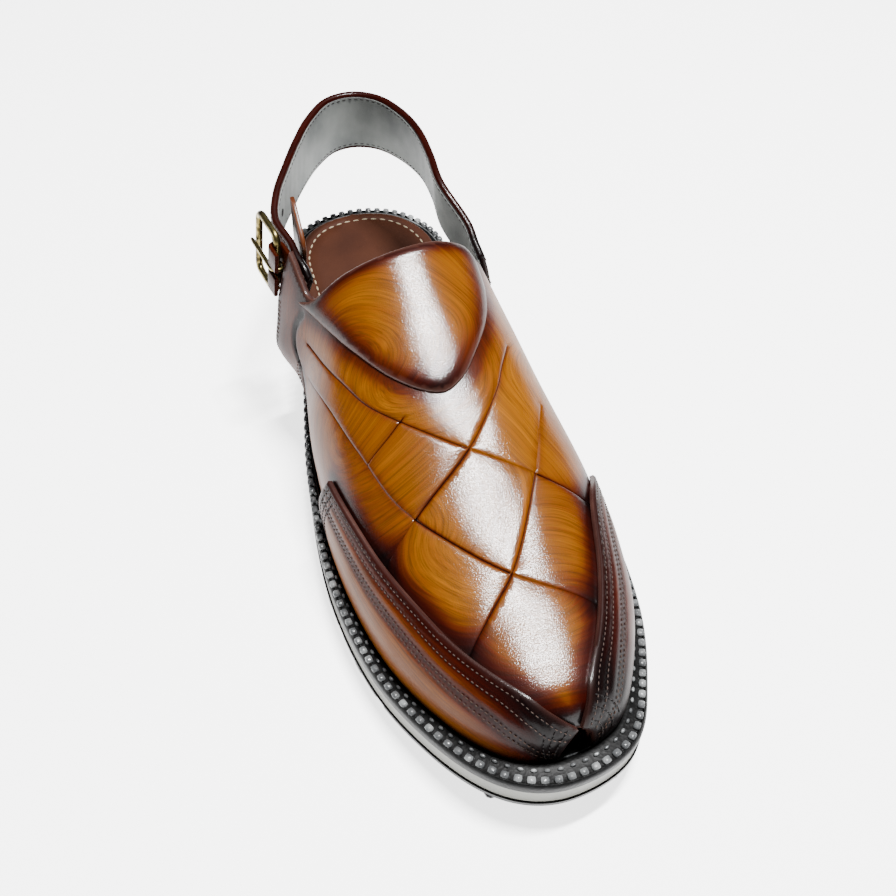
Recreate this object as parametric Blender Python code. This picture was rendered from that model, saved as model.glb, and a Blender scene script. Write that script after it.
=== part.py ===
"""Peshawari chappal, right shoe, standing on its sole.

Frame: +Z up, toe towards -Y, heel towards +Y, lateral (outer) side towards -X. Metres.
The shoe is worked out from a last: an outline seen from above, a side profile, and cross sections
whose widths come from the outline and whose heights are shares of the instep's rise.
A place on the last is (turn, around). turn runs from 0 at the heel's end to 1 at the toe's tip, with
along = (1 - cos(pi turn)) / 2 as the share of the length. around runs from 0 at the lateral bottom
edge over the instep to 1 at the medial bottom edge.
"""

import math

import bmesh
import bpy
import numpy as np
from mathutils import Vector
from mathutils.geometry import delaunay_2d_cdt

# Driving sizes of the shoe
SOLE_LENGTH = 0.295
BALL_WIDTH = 0.110
HEEL_TOP = 0.030
FOREFOOT_TOP = 0.016
TOE_SPRING = 0.0085
WAIST_LIFT = 0.0095
INSTEP_RISE = 0.062
TOE_INSET = 0.0138

# Walls and clearances
LEATHER = 0.0022
OVERLAY = 0.0018
GAP = 0.0003
LIFT = 0.0006
STRIP_RAISE = 0.0009
STRIP_LIP = 0.0012

# Sole unit
OUTSOLE_THICK = 0.0045
SOLE_CHAMFER = 0.0012
GROOVE_DEPTH = 0.0022
GROOVE_DRAFT = 0.0007
RIB_GROOVE_DEPTH = 0.0012
RIB_GROOVE_WIDTH = 0.0016
WELT_THICK = 0.0040
WELT_RING = 0.0170
SIDE_STEP = 0.0006
STUD_BAND_RAISE = 0.0008
INSOLE_THICK = 0.0026

# Heel strap and buckle
STRAP_WIDTH = 0.025
STRAP_THICK = 0.0030
STRAP_MIDDLE = 0.082
TAIL_CLEAR = 0.0014
ROD_RADIUS = 0.0014
FRAME_LENGTH = 0.0180
FRAME_HEIGHT = 0.0270
FRAME_CORNER = 0.0035
PRONG_RADIUS = 0.0009
GUARD_THICK = 0.0016
BAR_BEHIND = 0.0063
BAR_OUT = 0.0008
BUCKLE_TURN = 0.20
BUCKLE_RISE = 0.03
BUCKLE_LEAN = 0.12
FOLD_THICK = 0.0016
FOLD_HEIGHT = 0.0195
FOLD_LEG = 0.0060

MESH_STEP = 0.0060
RAND_STEP = 0.0045

# Outline seen from above: half widths as shares of BALL_WIDTH, inset of the last's bottom edge
# as a share of TOE_INSET
#    turn  lateral medial  inset
OUTLINE = [
    (0.0, 0.000, 0.000, 0.34),
    (0.1, 0.212, 0.204, 0.34),
    (0.2, 0.328, 0.323, 0.34),
    (0.3, 0.347, 0.327, 0.36),
    (0.4, 0.405, 0.331, 0.42),
    (0.5, 0.482, 0.396, 0.52),
    (0.6, 0.508, 0.482, 0.70),
    (0.7, 0.456, 0.457, 0.79),
    (0.8, 0.334, 0.354, 0.87),
    (0.9, 0.184, 0.227, 0.97),
    (1.0, 0.000, 0.000, 1.00),
]

# Side profile: shares of the heel's extra height, of WAIST_LIFT and of TOE_SPRING
#    along  heel  waist spring
PROFILE = [
    (0.000, 1.00, 0.00, 0.00),
    (0.140, 0.98, 0.00, 0.00),
    (0.262, 0.86, 0.00, 0.00),
    (0.330, 0.73, 1.00, 0.00),
    (0.420, 0.47, 0.92, 0.00),
    (0.500, 0.24, 0.12, 0.00),
    (0.540, 0.15, 0.00, 0.00),
    (0.620, 0.04, 0.00, 0.00),
    (0.700, 0.00, 0.00, 0.00),
    (0.800, 0.00, 0.00, 0.10),
    (0.900, 0.00, 0.00, 0.46),
    (1.000, 0.00, 0.00, 1.00),
]

# Cross sections of the last: height as a share of INSTEP_RISE, place of the ridge across the
# foot, fullness (the power of the curve), swell of each side as a share of BALL_WIDTH
#    turn  height ridge fullness swell_lateral swell_medial
SECTIONS = [
    (0.30, 1.95, 0.50, 3.00, 0.105, -0.035),
    (0.33, 1.80, 0.50, 3.10, 0.108, -0.035),
    (0.36, 1.56, 0.50, 3.10, 0.110, -0.030),
    (0.39, 1.30, 0.51, 2.55, 0.085, 0.005),
    (0.42, 1.17, 0.52, 2.20, 0.052, 0.042),
    (0.50, 0.98, 0.54, 2.20, 0.036, 0.044),
    (0.58, 0.80, 0.55, 2.25, 0.032, 0.030),
    (0.66, 0.645, 0.56, 2.30, 0.030, 0.026),
    (0.74, 0.52, 0.56, 2.40, 0.028, 0.028),
    (0.82, 0.42, 0.55, 2.50, 0.020, 0.020),
    (0.89, 0.34, 0.53, 2.50, 0.013, 0.013),
    (0.95, 0.22, 0.51, 2.40, 0.006, 0.006),
    (1.00, 0.00, 0.50, 2.30, 0.000, 0.000),
]

# Wide smooth grooves across the tread: front and rear edge as shares of the length
#    start  end
GROOVES = [
    (0.112, 0.126),
    (0.192, 0.210),
    (0.512, 0.530),
    (0.598, 0.616),
    (0.695, 0.713),
    (0.806, 0.822),
]

# Lines of the upper's pattern on the last, each as corners (turn, around)
TOE_OPENING = [(0.966, 0.00), (0.950, 0.22), (0.932, 0.535), (0.940, 0.80), (0.945, 1.00)]
LATERAL_WINDOW = [(0.500, 0.00), (0.478, 0.085), (0.452, 0.150), (0.432, 0.185),
                  (0.430, 0.130), (0.438, 0.070), (0.442, 0.00)]
LATERAL_QUARTER = [(0.374, 0.00), (0.377, 0.08), (0.380, 0.15), (0.382, 0.21), (0.376, 0.276)]
LATERAL_STRAP_END = [(0.376, 0.276), (0.376, 0.356)]
LATERAL_THROAT = [(0.376, 0.356), (0.386, 0.351), (0.398, 0.343), (0.408, 0.337), (0.417, 0.346),
                  (0.424, 0.400)]
THROAT = [(0.424, 0.400), (0.427, 0.455), (0.426, 0.500), (0.420, 0.568), (0.418, 0.604),
          (0.412, 0.645), (0.396, 0.680)]
MEDIAL_QUARTER = [(0.396, 0.680), (0.378, 0.720), (0.366, 0.780), (0.364, 0.850), (0.370, 0.92),
                  (0.374, 1.00)]
MEDIAL_WINDOW = [(0.442, 1.00), (0.438, 0.930), (0.430, 0.870), (0.432, 0.815), (0.452, 0.850),
                 (0.478, 0.915), (0.500, 1.00)]

# Weave: edges of the wide strips, in two crossing sets
WEAVE = [
    [(0.430, 0.268), (0.494, 0.320), (0.531, 0.352), (0.576, 0.445), (0.617, 0.593), (0.636, 0.700),
     (0.650, 0.800)],
    [(0.449, 0.215), (0.494, 0.262), (0.551, 0.281), (0.611, 0.297), (0.669, 0.378), (0.706, 0.468),
     (0.749, 0.650), (0.775, 0.760)],
    [(0.500, 0.632), (0.518, 0.605), (0.545, 0.568), (0.586, 0.480), (0.627, 0.323), (0.655, 0.180)],
    [(0.548, 0.672), (0.580, 0.632), (0.617, 0.593), (0.699, 0.470), (0.735, 0.380), (0.778, 0.250)],
    [(0.548, 0.400), (0.557, 0.350), (0.567, 0.285)],
]

# Inner edge of each rand strip, and its rear end
RAND_LATERAL = [(0.552, 0.185), (0.605, 0.195), (0.652, 0.205), (0.734, 0.245), (0.780, 0.283),
                (0.845, 0.367), (0.918, 0.453), (0.946, 0.550)]
RAND_MEDIAL = [(0.600, 0.800), (0.634, 0.735), (0.712, 0.688), (0.773, 0.652), (0.856, 0.585),
               (0.918, 0.566), (0.944, 0.572)]
RAND_LATERAL_END = [(0.552, 0.00), (0.545, 0.09), (0.552, 0.185)]
RAND_MEDIAL_END = [(0.596, 1.00), (0.592, 0.90), (0.600, 0.800)]

# Instep panel: its rear edge follows the throat, its front edge is cut round
PANEL_REAR = [(0.404, 0.316), (0.417, 0.345), (0.422, 0.400), (0.425, 0.455), (0.424, 0.500),
              (0.418, 0.570), (0.416, 0.598), (0.422, 0.618)]
PANEL_FRONT = [(0.422, 0.618), (0.445, 0.619), (0.462, 0.611), (0.485, 0.592), (0.512, 0.555), (0.531, 0.518),
               (0.539, 0.480), (0.535, 0.450), (0.518, 0.410), (0.485, 0.372), (0.451, 0.343),
               (0.404, 0.316)]

# Toe end of each rand, just behind the toe opening
RAND_LATERAL_TOE = [(0.946, 0.550), (0.966, 0.280), (0.982, 0.00)]
RAND_MEDIAL_TOE = [(0.944, 0.572), (0.940, 0.790), (0.936, 1.00)]

# Guard tab inside the buckle, from its sewn tip up: x in shares of BALL_WIDTH, front and rear edge in
# shares of SOLE_LENGTH from the middle, rise above STRAP_MIDDLE in shares of STRAP_WIDTH
#     x      front  rear   rise
GUARD = [
    (-0.396, 0.176, 0.200, -1.08),
    (-0.362, 0.184, 0.222, -0.80),
    (-0.340, 0.194, 0.244, -0.48),
    (-0.334, 0.192, 0.256, -0.08),
    (-0.332, 0.193, 0.258, 0.28),
    (-0.332, 0.240, 0.254, 0.60),
]

# Heel strap. It starts outside the medial quarter and its tail ends inside the lateral one:
# those places are on the last, as (turn, around, width)
STRAP_LANDING = [(0.399, 0.706, 0.72), (0.386, 0.706, 0.86), (0.370, 0.702, 0.96)]
STRAP_TAIL = [(0.389, 0.318, 0.74), (0.397, 0.314, 0.70)]
# Between them its middle line is free: x in shares of BALL_WIDTH, y in shares of SOLE_LENGTH from
# the middle, rise above STRAP_MIDDLE, outward lean of the top edge and width in shares of STRAP_WIDTH
#     x       y     rise   lean  width
STRAP_PATH = [
    (0.226, 0.262, -0.12, -0.10, 1.00),
    (0.233, 0.319, -0.04, -0.12, 1.00),
    (0.228, 0.373, 0.00, -0.10, 1.02),
    (0.190, 0.427, 0.00, -0.04, 1.04),
    (0.120, 0.469, 0.00, 0.02, 1.06),
    (0.030, 0.486, 0.00, 0.06, 1.06),
    (-0.066, 0.480, 0.00, 0.06, 1.06),
    (-0.162, 0.444, 0.00, 0.04, 1.02),
    (-0.240, 0.397, 0.00, 0.02, 0.96),
    (-0.312, 0.346, -0.02, 0.00, 0.90),
    (-0.370, 0.302, -0.06, -0.02, 0.84),
    (-0.402, 0.258, -0.14, -0.06, 0.80),
    (-0.375, 0.214, -0.24, -0.10, 0.78),
    (-0.366, 0.186, -0.30, -0.12, 0.76),
]


def column(rows, number, x):
    """Smooth curve through one column of a table, against its first column."""
    places = np.array([row[0] for row in rows])
    values = np.array([row[number] for row in rows])
    slopes = np.gradient(values, places)
    x = np.clip(np.asarray(x, float), places[0], places[-1])
    left = np.clip(np.searchsorted(places, x, side="right") - 1, 0, len(places) - 2)
    span = places[left + 1] - places[left]
    u = (x - places[left]) / span
    start = (2 * u ** 3 - 3 * u ** 2 + 1) * values[left] + (u ** 3 - 2 * u ** 2 + u) * span * slopes[left]
    end = (3 * u ** 2 - 2 * u ** 3) * values[left + 1] + (u ** 3 - u ** 2) * span * slopes[left + 1]
    return start + end


def straight_column(rows, number, x):
    """Straight lines through one column of a table, for the stepped underside."""
    return np.interp(x, [row[0] for row in rows], [row[number] for row in rows])


def along_of(turn):
    return (1 - np.cos(np.pi * np.asarray(turn, float))) / 2


def turn_of(along):
    return np.arccos(np.clip(1 - 2 * np.asarray(along, float), -1, 1)) / np.pi


def seat_at(y):
    """Height of the sole's top, where the foot's seat begins."""
    along = 0.5 - np.asarray(y, float) / SOLE_LENGTH
    heel = column(PROFILE, 1, along)
    spring = np.maximum(column(PROFILE, 3, along), 0)
    return FOREFOOT_TOP + (HEEL_TOP - FOREFOOT_TOP) * heel + TOE_SPRING * spring


def ground_at(y):
    """Height of the tread's underside, without its grooves."""
    along = 0.5 - np.asarray(y, float) / SOLE_LENGTH
    spring = np.maximum(column(PROFILE, 3, along), 0)
    return WAIST_LIFT * straight_column(PROFILE, 2, along) + TOE_SPRING * spring


def outline_raw(turn, side):
    turn = np.asarray(turn, float)
    folded = np.where(turn < 0, -turn, np.where(turn > 1, 2 - turn, turn))
    sign = np.where((turn < 0) | (turn > 1), -1.0, 1.0)
    width = column(OUTLINE, 1 if side < 0 else 2, folded) * BALL_WIDTH
    return np.stack([side * sign * width, SOLE_LENGTH * (0.5 - along_of(turn))], axis=-1)


def outline(turn, side, inset=0.0):
    """Point of the sole's outline seen from above, moved inwards along its normal."""
    step = 1e-4
    turn = np.asarray(turn, float)
    run = outline_raw(turn + step, side) - outline_raw(turn - step, side)
    run = run / np.linalg.norm(run, axis=-1, keepdims=True)
    inwards = np.stack([run[..., 1], -run[..., 0]], axis=-1) * side
    return outline_raw(turn, side) + inwards * np.asarray(inset)[..., None]


def bottom_edge(turn, side):
    """Bottom edge of the last, on the sole's top."""
    plan = outline(turn, side, column(OUTLINE, 3, turn) * TOE_INSET)
    return np.concatenate([plan, seat_at(plan[..., 1])[..., None]], axis=-1)


def last_surface(turn, around):
    lateral = bottom_edge(turn, -1)
    medial = bottom_edge(turn, 1)
    height = column(SECTIONS, 1, turn) * INSTEP_RISE + 1e-9
    ridge = column(SECTIONS, 2, turn)[..., None]
    power = column(SECTIONS, 3, turn)
    base = lateral + (medial - lateral) * ridge
    angle = np.pi * np.asarray(around, float)
    on_lateral = angle < np.pi / 2
    sideways = np.where(on_lateral[..., None], lateral - base, medial - base)
    half = np.linalg.norm(sideways, axis=-1) + 1e-9
    swell = np.where(on_lateral, column(SECTIONS, 4, turn), column(SECTIONS, 5, turn)) * BALL_WIDTH
    across = np.abs(np.cos(angle))
    up = np.abs(np.sin(angle))
    reach = ((across / half) ** power + (up / height) ** power) ** (-1 / power)
    unit = sideways / half[..., None]
    sideways_run = reach * across + 2 * swell * across * up
    upward_run = (reach * up)[..., None] * np.array([0.0, 0.0, 1.0])
    return base + unit * sideways_run[..., None] + upward_run


def on_last(turn, around, out):
    """Point at a distance out from the last's surface, never below the sole's top."""
    turn = np.asarray(turn, float)
    around = np.asarray(around, float)
    step = 1e-3
    run = last_surface(turn + step, around) - last_surface(turn - step, around)
    rise = last_surface(turn, np.minimum(around + step, 1)) - last_surface(turn, np.maximum(around - step, 0))
    normal = np.cross(run, rise)
    normal /= np.linalg.norm(normal, axis=-1, keepdims=True) + 1e-12
    point = last_surface(turn, around) + normal * np.asarray(out)[..., None]
    point[..., 2] = np.maximum(point[..., 2], seat_at(point[..., 1]) + GAP)
    return point


def flat_scale():
    """Girth of each section and the run along the ridge, which unroll the last to a flat pattern."""
    turns = np.linspace(0.30, 0.985, 138)
    grid_turn, grid_around = np.meshgrid(turns, np.linspace(0, 1, 41), indexing="ij")
    grid = last_surface(grid_turn, grid_around)
    girth = np.linalg.norm(np.diff(grid, axis=1), axis=-1).sum(axis=1)
    steps = np.linalg.norm(np.diff(grid[:, 20], axis=0), axis=1)
    return turns, girth, np.concatenate([[0.0], np.cumsum(steps)])


FLAT_TURN, FLAT_GIRTH, FLAT_RUN = flat_scale()


def flatten(places):
    places = np.asarray(places, float)
    girth = np.interp(places[:, 0], FLAT_TURN, FLAT_GIRTH)
    return np.column_stack([(places[:, 1] - 0.5) * girth, np.interp(places[:, 0], FLAT_TURN, FLAT_RUN)])


def unflatten(flat):
    turn = np.interp(flat[:, 1], FLAT_RUN, FLAT_TURN)
    around = 0.5 + flat[:, 0] / np.interp(turn, FLAT_TURN, FLAT_GIRTH)
    return turn, np.clip(around, 0, 1)


def resample(points, step):
    """Points at even steps along a polyline, with both its ends kept."""
    lengths = np.concatenate([[0.0], np.cumsum(np.linalg.norm(np.diff(points, axis=0), axis=1))])
    count = max(1, int(round(lengths[-1] / step)))
    wanted = np.linspace(0, lengths[-1], count + 1)
    return np.column_stack([np.interp(wanted, lengths, points[:, k]) for k in range(points.shape[1])])


def smooth_curve(corners, samples=12):
    """Curve through corners that keeps its ends."""
    corners = np.asarray(corners, float)
    if len(corners) < 3:
        return corners
    chords = np.linalg.norm(np.diff(corners, axis=0), axis=1)
    knots = np.concatenate([[0.0], np.cumsum(np.sqrt(chords))])
    wanted = np.concatenate([np.linspace(a, b, samples, endpoint=False) for a, b in zip(knots, knots[1:])])
    wanted = np.append(wanted, knots[-1])
    tables = [column(list(zip(knots, corners[:, k])), 1, wanted) for k in range(corners.shape[1])]
    return np.column_stack(tables)


def pattern_line(corners, step=MESH_STEP):
    """A line of the pattern, smooth through its corners, in flat coordinates."""
    return resample(smooth_curve(flatten(corners)), step)


def bottom_line(first, last, around, step=MESH_STEP):
    """A stretch of the bottom edge between two turns, in flat coordinates."""
    turns = np.linspace(first, last, 60)
    return resample(flatten(np.column_stack([turns, np.full(60, around)])), step)


def closed_loop(pieces):
    """One closed loop from lines that follow each other end to end."""
    return np.concatenate([piece[:-1] for piece in pieces])


def distance_to_lines(points, lines):
    """Distance of each flat point to the nearest of several polylines."""
    best = np.full(len(points), 1.0)
    for line in lines:
        for a, b in zip(line, line[1:]):
            run = b - a
            share = np.clip(((points - a) @ run) / (run @ run + 1e-18), 0, 1)
            best = np.minimum(best, np.linalg.norm(points - a - share[:, None] * run, axis=1))
    return best


def is_inside(points, loop):
    inside = np.zeros(len(points), bool)
    for a, b in zip(loop, np.roll(loop, -1, axis=0)):
        crosses = (a[1] > points[:, 1]) != (b[1] > points[:, 1])
        with_slope = a[0] + (points[:, 1] - a[1]) * (b[0] - a[0]) / (b[1] - a[1] + 1e-18)
        inside ^= crosses & (points[:, 0] < with_slope)
    return inside


def fill_points(loop, lines, step):
    """Staggered grid inside the loop, clear of its edge and of the lines."""
    low, high = loop.min(axis=0), loop.max(axis=0)
    rows = np.arange(low[1], high[1], step * 0.87)
    grid = [np.column_stack([np.arange(low[0] + (k % 2) * step / 2, high[0], step),
                             np.full(len(np.arange(low[0] + (k % 2) * step / 2, high[0], step)), y)])
            for k, y in enumerate(rows)]
    grid = np.concatenate(grid)
    grid = grid[is_inside(grid, loop)]
    closed = np.concatenate([loop, loop[:1]])
    return grid[distance_to_lines(grid, [closed] + lines) > 0.55 * step]


def triangulate(loop, lines, step):
    """Triangles of the pattern inside its loop, with the lines kept as edges."""
    points = list(loop)
    edges = [(k, (k + 1) % len(loop)) for k in range(len(loop))]
    for line in lines:
        start = len(points)
        points.extend(line)
        edges.extend((start + k, start + k + 1) for k in range(len(line) - 1))
    points.extend(fill_points(loop, lines, step))
    made = delaunay_2d_cdt([Vector(p) for p in points], edges, [], 1, 1e-6)
    flat = np.array([tuple(v) for v in made[0]])
    faces = np.array([tuple(f) for f in made[2]])
    middles = flat[faces].mean(axis=1)
    return flat, faces[is_inside(middles, loop)]


def plain_material(name, colour, roughness, metallic=0.0):
    material = bpy.data.materials.new(name)
    material.use_nodes = True
    shader = material.node_tree.nodes["Principled BSDF"]
    shader.inputs["Base Color"].default_value = (*colour, 1.0)
    shader.inputs["Roughness"].default_value = roughness
    shader.inputs["Metallic"].default_value = metallic
    return material


def add_object(name, mesh_data, material, sharp_degrees=38):
    """Puts a closed bmesh in the scene as a named object with its faces pointing out."""
    bmesh.ops.remove_doubles(mesh_data, verts=mesh_data.verts, dist=1e-5)
    bmesh.ops.dissolve_degenerate(mesh_data, edges=mesh_data.edges, dist=1e-6)
    bmesh.ops.recalc_face_normals(mesh_data, faces=mesh_data.faces)
    mesh = bpy.data.meshes.new(name)
    mesh_data.to_mesh(mesh)
    mesh_data.free()
    mesh.materials.append(material)
    mesh.shade_smooth()
    mesh.set_sharp_from_angle(angle=math.radians(sharp_degrees))
    made = bpy.data.objects.new(name, mesh)
    bpy.context.scene.collection.objects.link(made)
    return made


def leather_piece(name, loop, lines, inner, outer, material, step=MESH_STEP):
    """A closed wall of leather over part of the last, between two distances from its surface.

    inner and outer are distances, or functions of the flat points that give them.
    """
    flat, faces = triangulate(loop, lines, step)
    turn, around = unflatten(flat)
    out, back = [d(flat) if callable(d) else np.full(len(flat), d) for d in (outer, inner)]
    outside = on_last(turn, around, out)
    inside = on_last(turn, around, back)
    mesh = bmesh.new()
    top = [mesh.verts.new(p) for p in outside]
    low = [mesh.verts.new(p) for p in inside]
    used = {}
    for a, b, c in faces:
        mesh.faces.new((top[a], top[b], top[c]))
        mesh.faces.new((low[c], low[b], low[a]))
        for edge in ((a, b), (b, c), (c, a)):
            used[frozenset(edge)] = None if frozenset(edge) in used else edge
    for edge in used.values():
        if edge is not None:
            a, b = edge
            mesh.faces.new((top[b], top[a], low[a], low[b]))
    loose = [v for v in mesh.verts if not v.link_faces]
    bmesh.ops.delete(mesh, geom=loose, context="VERTS")
    return add_object(name, mesh, material)


def ring_loft(name, rings, material, closed=False, caps=False, sharp_degrees=38):
    """Joins rings of points, each with as many points, into one closed skin."""
    mesh = bmesh.new()
    rows = [[mesh.verts.new(p) for p in ring] for ring in rings]
    pairs = list(zip(rows, rows[1:]))
    if closed:
        pairs.append((rows[-1], rows[0]))
    for first, second in pairs:
        for k in range(len(first)):
            n = (k + 1) % len(first)
            mesh.faces.new((first[k], first[n], second[n], second[k]))
    if caps:
        mesh.faces.new(rows[0])
        mesh.faces.new(rows[-1])
    return add_object(name, mesh, material, sharp_degrees)


def sole_point(turn, side, inset, height_at):
    """Point of the sole at an inset from its outline, at a height given by its own place."""
    plan = outline(np.array([turn]), side, np.array([inset]))[0]
    return (plan[0], plan[1], float(height_at(plan[1])))


def middle_point(turn, height_at, lateral_inset=0.0):
    """Point half way across the sole."""
    left = outline(np.array([turn]), -1, np.array([lateral_inset]))[0]
    right = outline(np.array([turn]), 1, np.array([lateral_inset]))[0]
    y = (left[1] + right[1]) / 2
    return ((left[0] + right[0]) / 2, y, float(height_at(y)))


def tread_stations():
    """Places along the sole with the depth of the tread there, from the grooves' own table."""
    blocks = list(zip([0.0] + [g[1] for g in GROOVES], [g[0] for g in GROOVES] + [1.0]))
    draft = GROOVE_DRAFT / SOLE_LENGTH
    half = RIB_GROOVE_WIDTH / SOLE_LENGTH / 2
    stations = []
    for start, end in GROOVES:
        stations += [(start, 0.0), (start + draft, GROOVE_DEPTH), (end - draft, GROOVE_DEPTH), (end, 0.0)]
    for start, end in blocks:
        crosses_waist = start < PROFILE[3][0] < end
        if start == 0.0 or end == 1.0 or crosses_waist:
            continue
        for share in (0.36, 0.64):
            middle = start + (end - start) * share
            stations += [(middle - half - draft, 0.0), (middle - half, RIB_GROOVE_DEPTH),
                         (middle + half, RIB_GROOVE_DEPTH), (middle + half + draft, 0.0)]
    taken = [place for place, depth in stations]
    for place in list(along_of(np.linspace(0, 1, 31))) + [row[0] for row in PROFILE]:
        if min(abs(place - other) for other in taken) > 0.006 or place in (0.0, 1.0):
            stations.append((float(place), 0.0))
            taken.append(place)
    return sorted(stations)


def make_outsole(material):
    rings = []
    for place, depth in tread_stations():
        turn = float(turn_of(place))

        def top(y):
            return ground_at(y) + OUTSOLE_THICK

        def chamfer(y, depth=depth):
            return ground_at(y) + depth + SOLE_CHAMFER

        def foot(y, depth=depth):
            return ground_at(y) + depth

        rings.append([
            sole_point(turn, -1, 0.0, top), sole_point(turn, -1, 0.0, chamfer),
            sole_point(turn, -1, SOLE_CHAMFER, foot), middle_point(turn, foot, SOLE_CHAMFER),
            sole_point(turn, 1, SOLE_CHAMFER, foot), sole_point(turn, 1, 0.0, chamfer),
            sole_point(turn, 1, 0.0, top), middle_point(turn, top)])
    return ring_loft("outsole", rings, material)


def make_midsole(material):
    """Pale layer: its side shows between tread and welt, its core rises inside the welt's ring."""
    core = WELT_RING + GAP
    places = sorted(set(list(along_of(np.linspace(0, 1, 31))) + [row[0] for row in PROFILE]))

    def low(y):
        return ground_at(y) + OUTSOLE_THICK + GAP

    def ledge(y):
        return seat_at(y) - WELT_THICK - GAP

    rings = []
    for place in places:
        turn = float(turn_of(place))
        rings.append([
            sole_point(turn, -1, SIDE_STEP, low), sole_point(turn, -1, SIDE_STEP, ledge),
            sole_point(turn, -1, core, ledge), sole_point(turn, -1, core, seat_at),
            middle_point(turn, seat_at, core),
            sole_point(turn, 1, core, seat_at), sole_point(turn, 1, core, ledge),
            sole_point(turn, 1, SIDE_STEP, ledge), sole_point(turn, 1, SIDE_STEP, low),
            middle_point(turn, low, SIDE_STEP)])
    return ring_loft("midsole", rings, material)


def visible_rim(turn):
    """Width of the welt that shows beyond the upper and its rand."""
    return float(column(OUTLINE, 3, turn)) * TOE_INSET - LEATHER - GAP - OVERLAY


def make_welt(material):
    """Moulded rim round the whole sole, with a raised band where its studs sit."""
    turns = np.linspace(0, 1, 41)
    route = [(t, -1) for t in turns] + [(t, 1) for t in turns[-2:0:-1]]
    rings = []
    for turn, side in route:
        band = max(visible_rim(turn) - 0.0012, 0.0016)

        def level(offset):
            return lambda y: seat_at(y) + offset

        rings.append([
            sole_point(turn, side, 0.0, level(-WELT_THICK)), sole_point(turn, side, 0.0, level(0.0)),
            sole_point(turn, side, 0.0006, level(STUD_BAND_RAISE)),
            sole_point(turn, side, band, level(STUD_BAND_RAISE)),
            sole_point(turn, side, band + 0.0005, level(0.0)),
            sole_point(turn, side, WELT_RING, level(0.0)),
            sole_point(turn, side, WELT_RING, level(-WELT_THICK))])
    return ring_loft("welt", rings, material, closed=True)


def make_insole(material):
    def low(y):
        return seat_at(y) + GAP

    def high(y):
        return seat_at(y) + GAP + INSOLE_THICK

    rings = []
    for turn in np.linspace(0, 1, 33):
        inset = float(column(OUTLINE, 3, turn)) * TOE_INSET + 2 * GAP
        rings.append([
            sole_point(turn, -1, inset, low), sole_point(turn, -1, inset, high),
            middle_point(turn, high, inset), sole_point(turn, 1, inset, high),
            sole_point(turn, 1, inset, low), middle_point(turn, low, inset)])
    return ring_loft("insole", rings, material)


def upper_loop():
    """Outline of the upper's pattern: vamp, windows, quarters, buckle strap and throat."""
    return closed_loop([
        pattern_line(TOE_OPENING),
        bottom_line(TOE_OPENING[-1][0], MEDIAL_WINDOW[-1][0], 1.0),
        pattern_line(MEDIAL_WINDOW[::-1]),
        bottom_line(MEDIAL_WINDOW[0][0], MEDIAL_QUARTER[-1][0], 1.0),
        pattern_line(MEDIAL_QUARTER[::-1]),
        pattern_line(THROAT[::-1]),
        pattern_line(LATERAL_THROAT[::-1]),
        pattern_line(LATERAL_STRAP_END[::-1]),
        pattern_line(LATERAL_QUARTER[::-1]),
        bottom_line(LATERAL_QUARTER[0][0], LATERAL_WINDOW[-1][0], 0.0),
        pattern_line(LATERAL_WINDOW[::-1]),
        bottom_line(LATERAL_WINDOW[0][0], TOE_OPENING[0][0], 0.0)])


def side_line(line, offset):
    """A line beside another at a distance."""
    run = np.gradient(line, axis=0)
    run /= np.linalg.norm(run, axis=1, keepdims=True)
    return line + np.column_stack([-run[:, 1], run[:, 0]]) * offset


def make_upper(material):
    """Vamp, quarters and buckle strap as one hollow wall. The weave's strips stand up from it."""
    loop = upper_loop()
    weave = [pattern_line(line) for line in WEAVE]
    lips = [side_line(line, offset) for line in weave for offset in (-STRIP_LIP, STRIP_LIP)]

    def relief(flat):
        share = np.clip(distance_to_lines(flat, weave) / STRIP_LIP, 0, 1)
        return LEATHER - STRIP_RAISE * (1 - share)

    return leather_piece("upper", loop, weave + lips, 0.0, relief, material)


def make_instep_panel(material):
    loop = closed_loop([pattern_line(PANEL_REAR), pattern_line(PANEL_FRONT)])
    return leather_piece("instep_panel", loop, [], LEATHER + LIFT, LEATHER + LIFT + OVERLAY, material)


def make_rand(name, edge, toe, end, around, material, step=RAND_STEP):
    loop = closed_loop([pattern_line(edge, step), pattern_line(toe, step),
                        bottom_line(toe[-1][0], end[0][0], around, step), pattern_line(end, step)])
    return leather_piece(name, loop, [], LEATHER + LIFT, LEATHER + LIFT + OVERLAY, material, step)


def make_guard(material):
    """Tab inside the buckle, between the strap and the foot, sewn to the quarter at its tip."""
    rows = smooth_curve(GUARD, samples=3)
    half = GUARD_THICK / 2
    rings = []
    for x, front, rear, rise in rows:
        x, front, rear = x * BALL_WIDTH, front * SOLE_LENGTH, rear * SOLE_LENGTH
        z = STRAP_MIDDLE + rise * STRAP_WIDTH
        rings.append([(x - half, front, z), (x - half, rear, z), (x + half, rear, z), (x + half, front, z)])
    return ring_loft("buckle_guard", rings, material, caps=True)


def last_frame(turn, around):
    """Point of the last with its three directions: towards the heel, up round the foot, outwards."""
    place = np.array([turn]), np.array([around])
    step = 1e-3
    point = last_surface(*place)[0]
    heelwards = last_surface(place[0] - step, place[1])[0] - last_surface(place[0] + step, place[1])[0]
    upwards = last_surface(place[0], place[1] + step)[0] - last_surface(place[0], place[1] - step)[0]
    if around > 0.5:
        upwards = -upwards
    heelwards /= np.linalg.norm(heelwards)
    upwards /= np.linalg.norm(upwards)
    outwards = np.cross(heelwards, upwards) * (1 if around > 0.5 else -1)
    outwards /= np.linalg.norm(outwards)
    return point, heelwards, upwards, outwards


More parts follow.
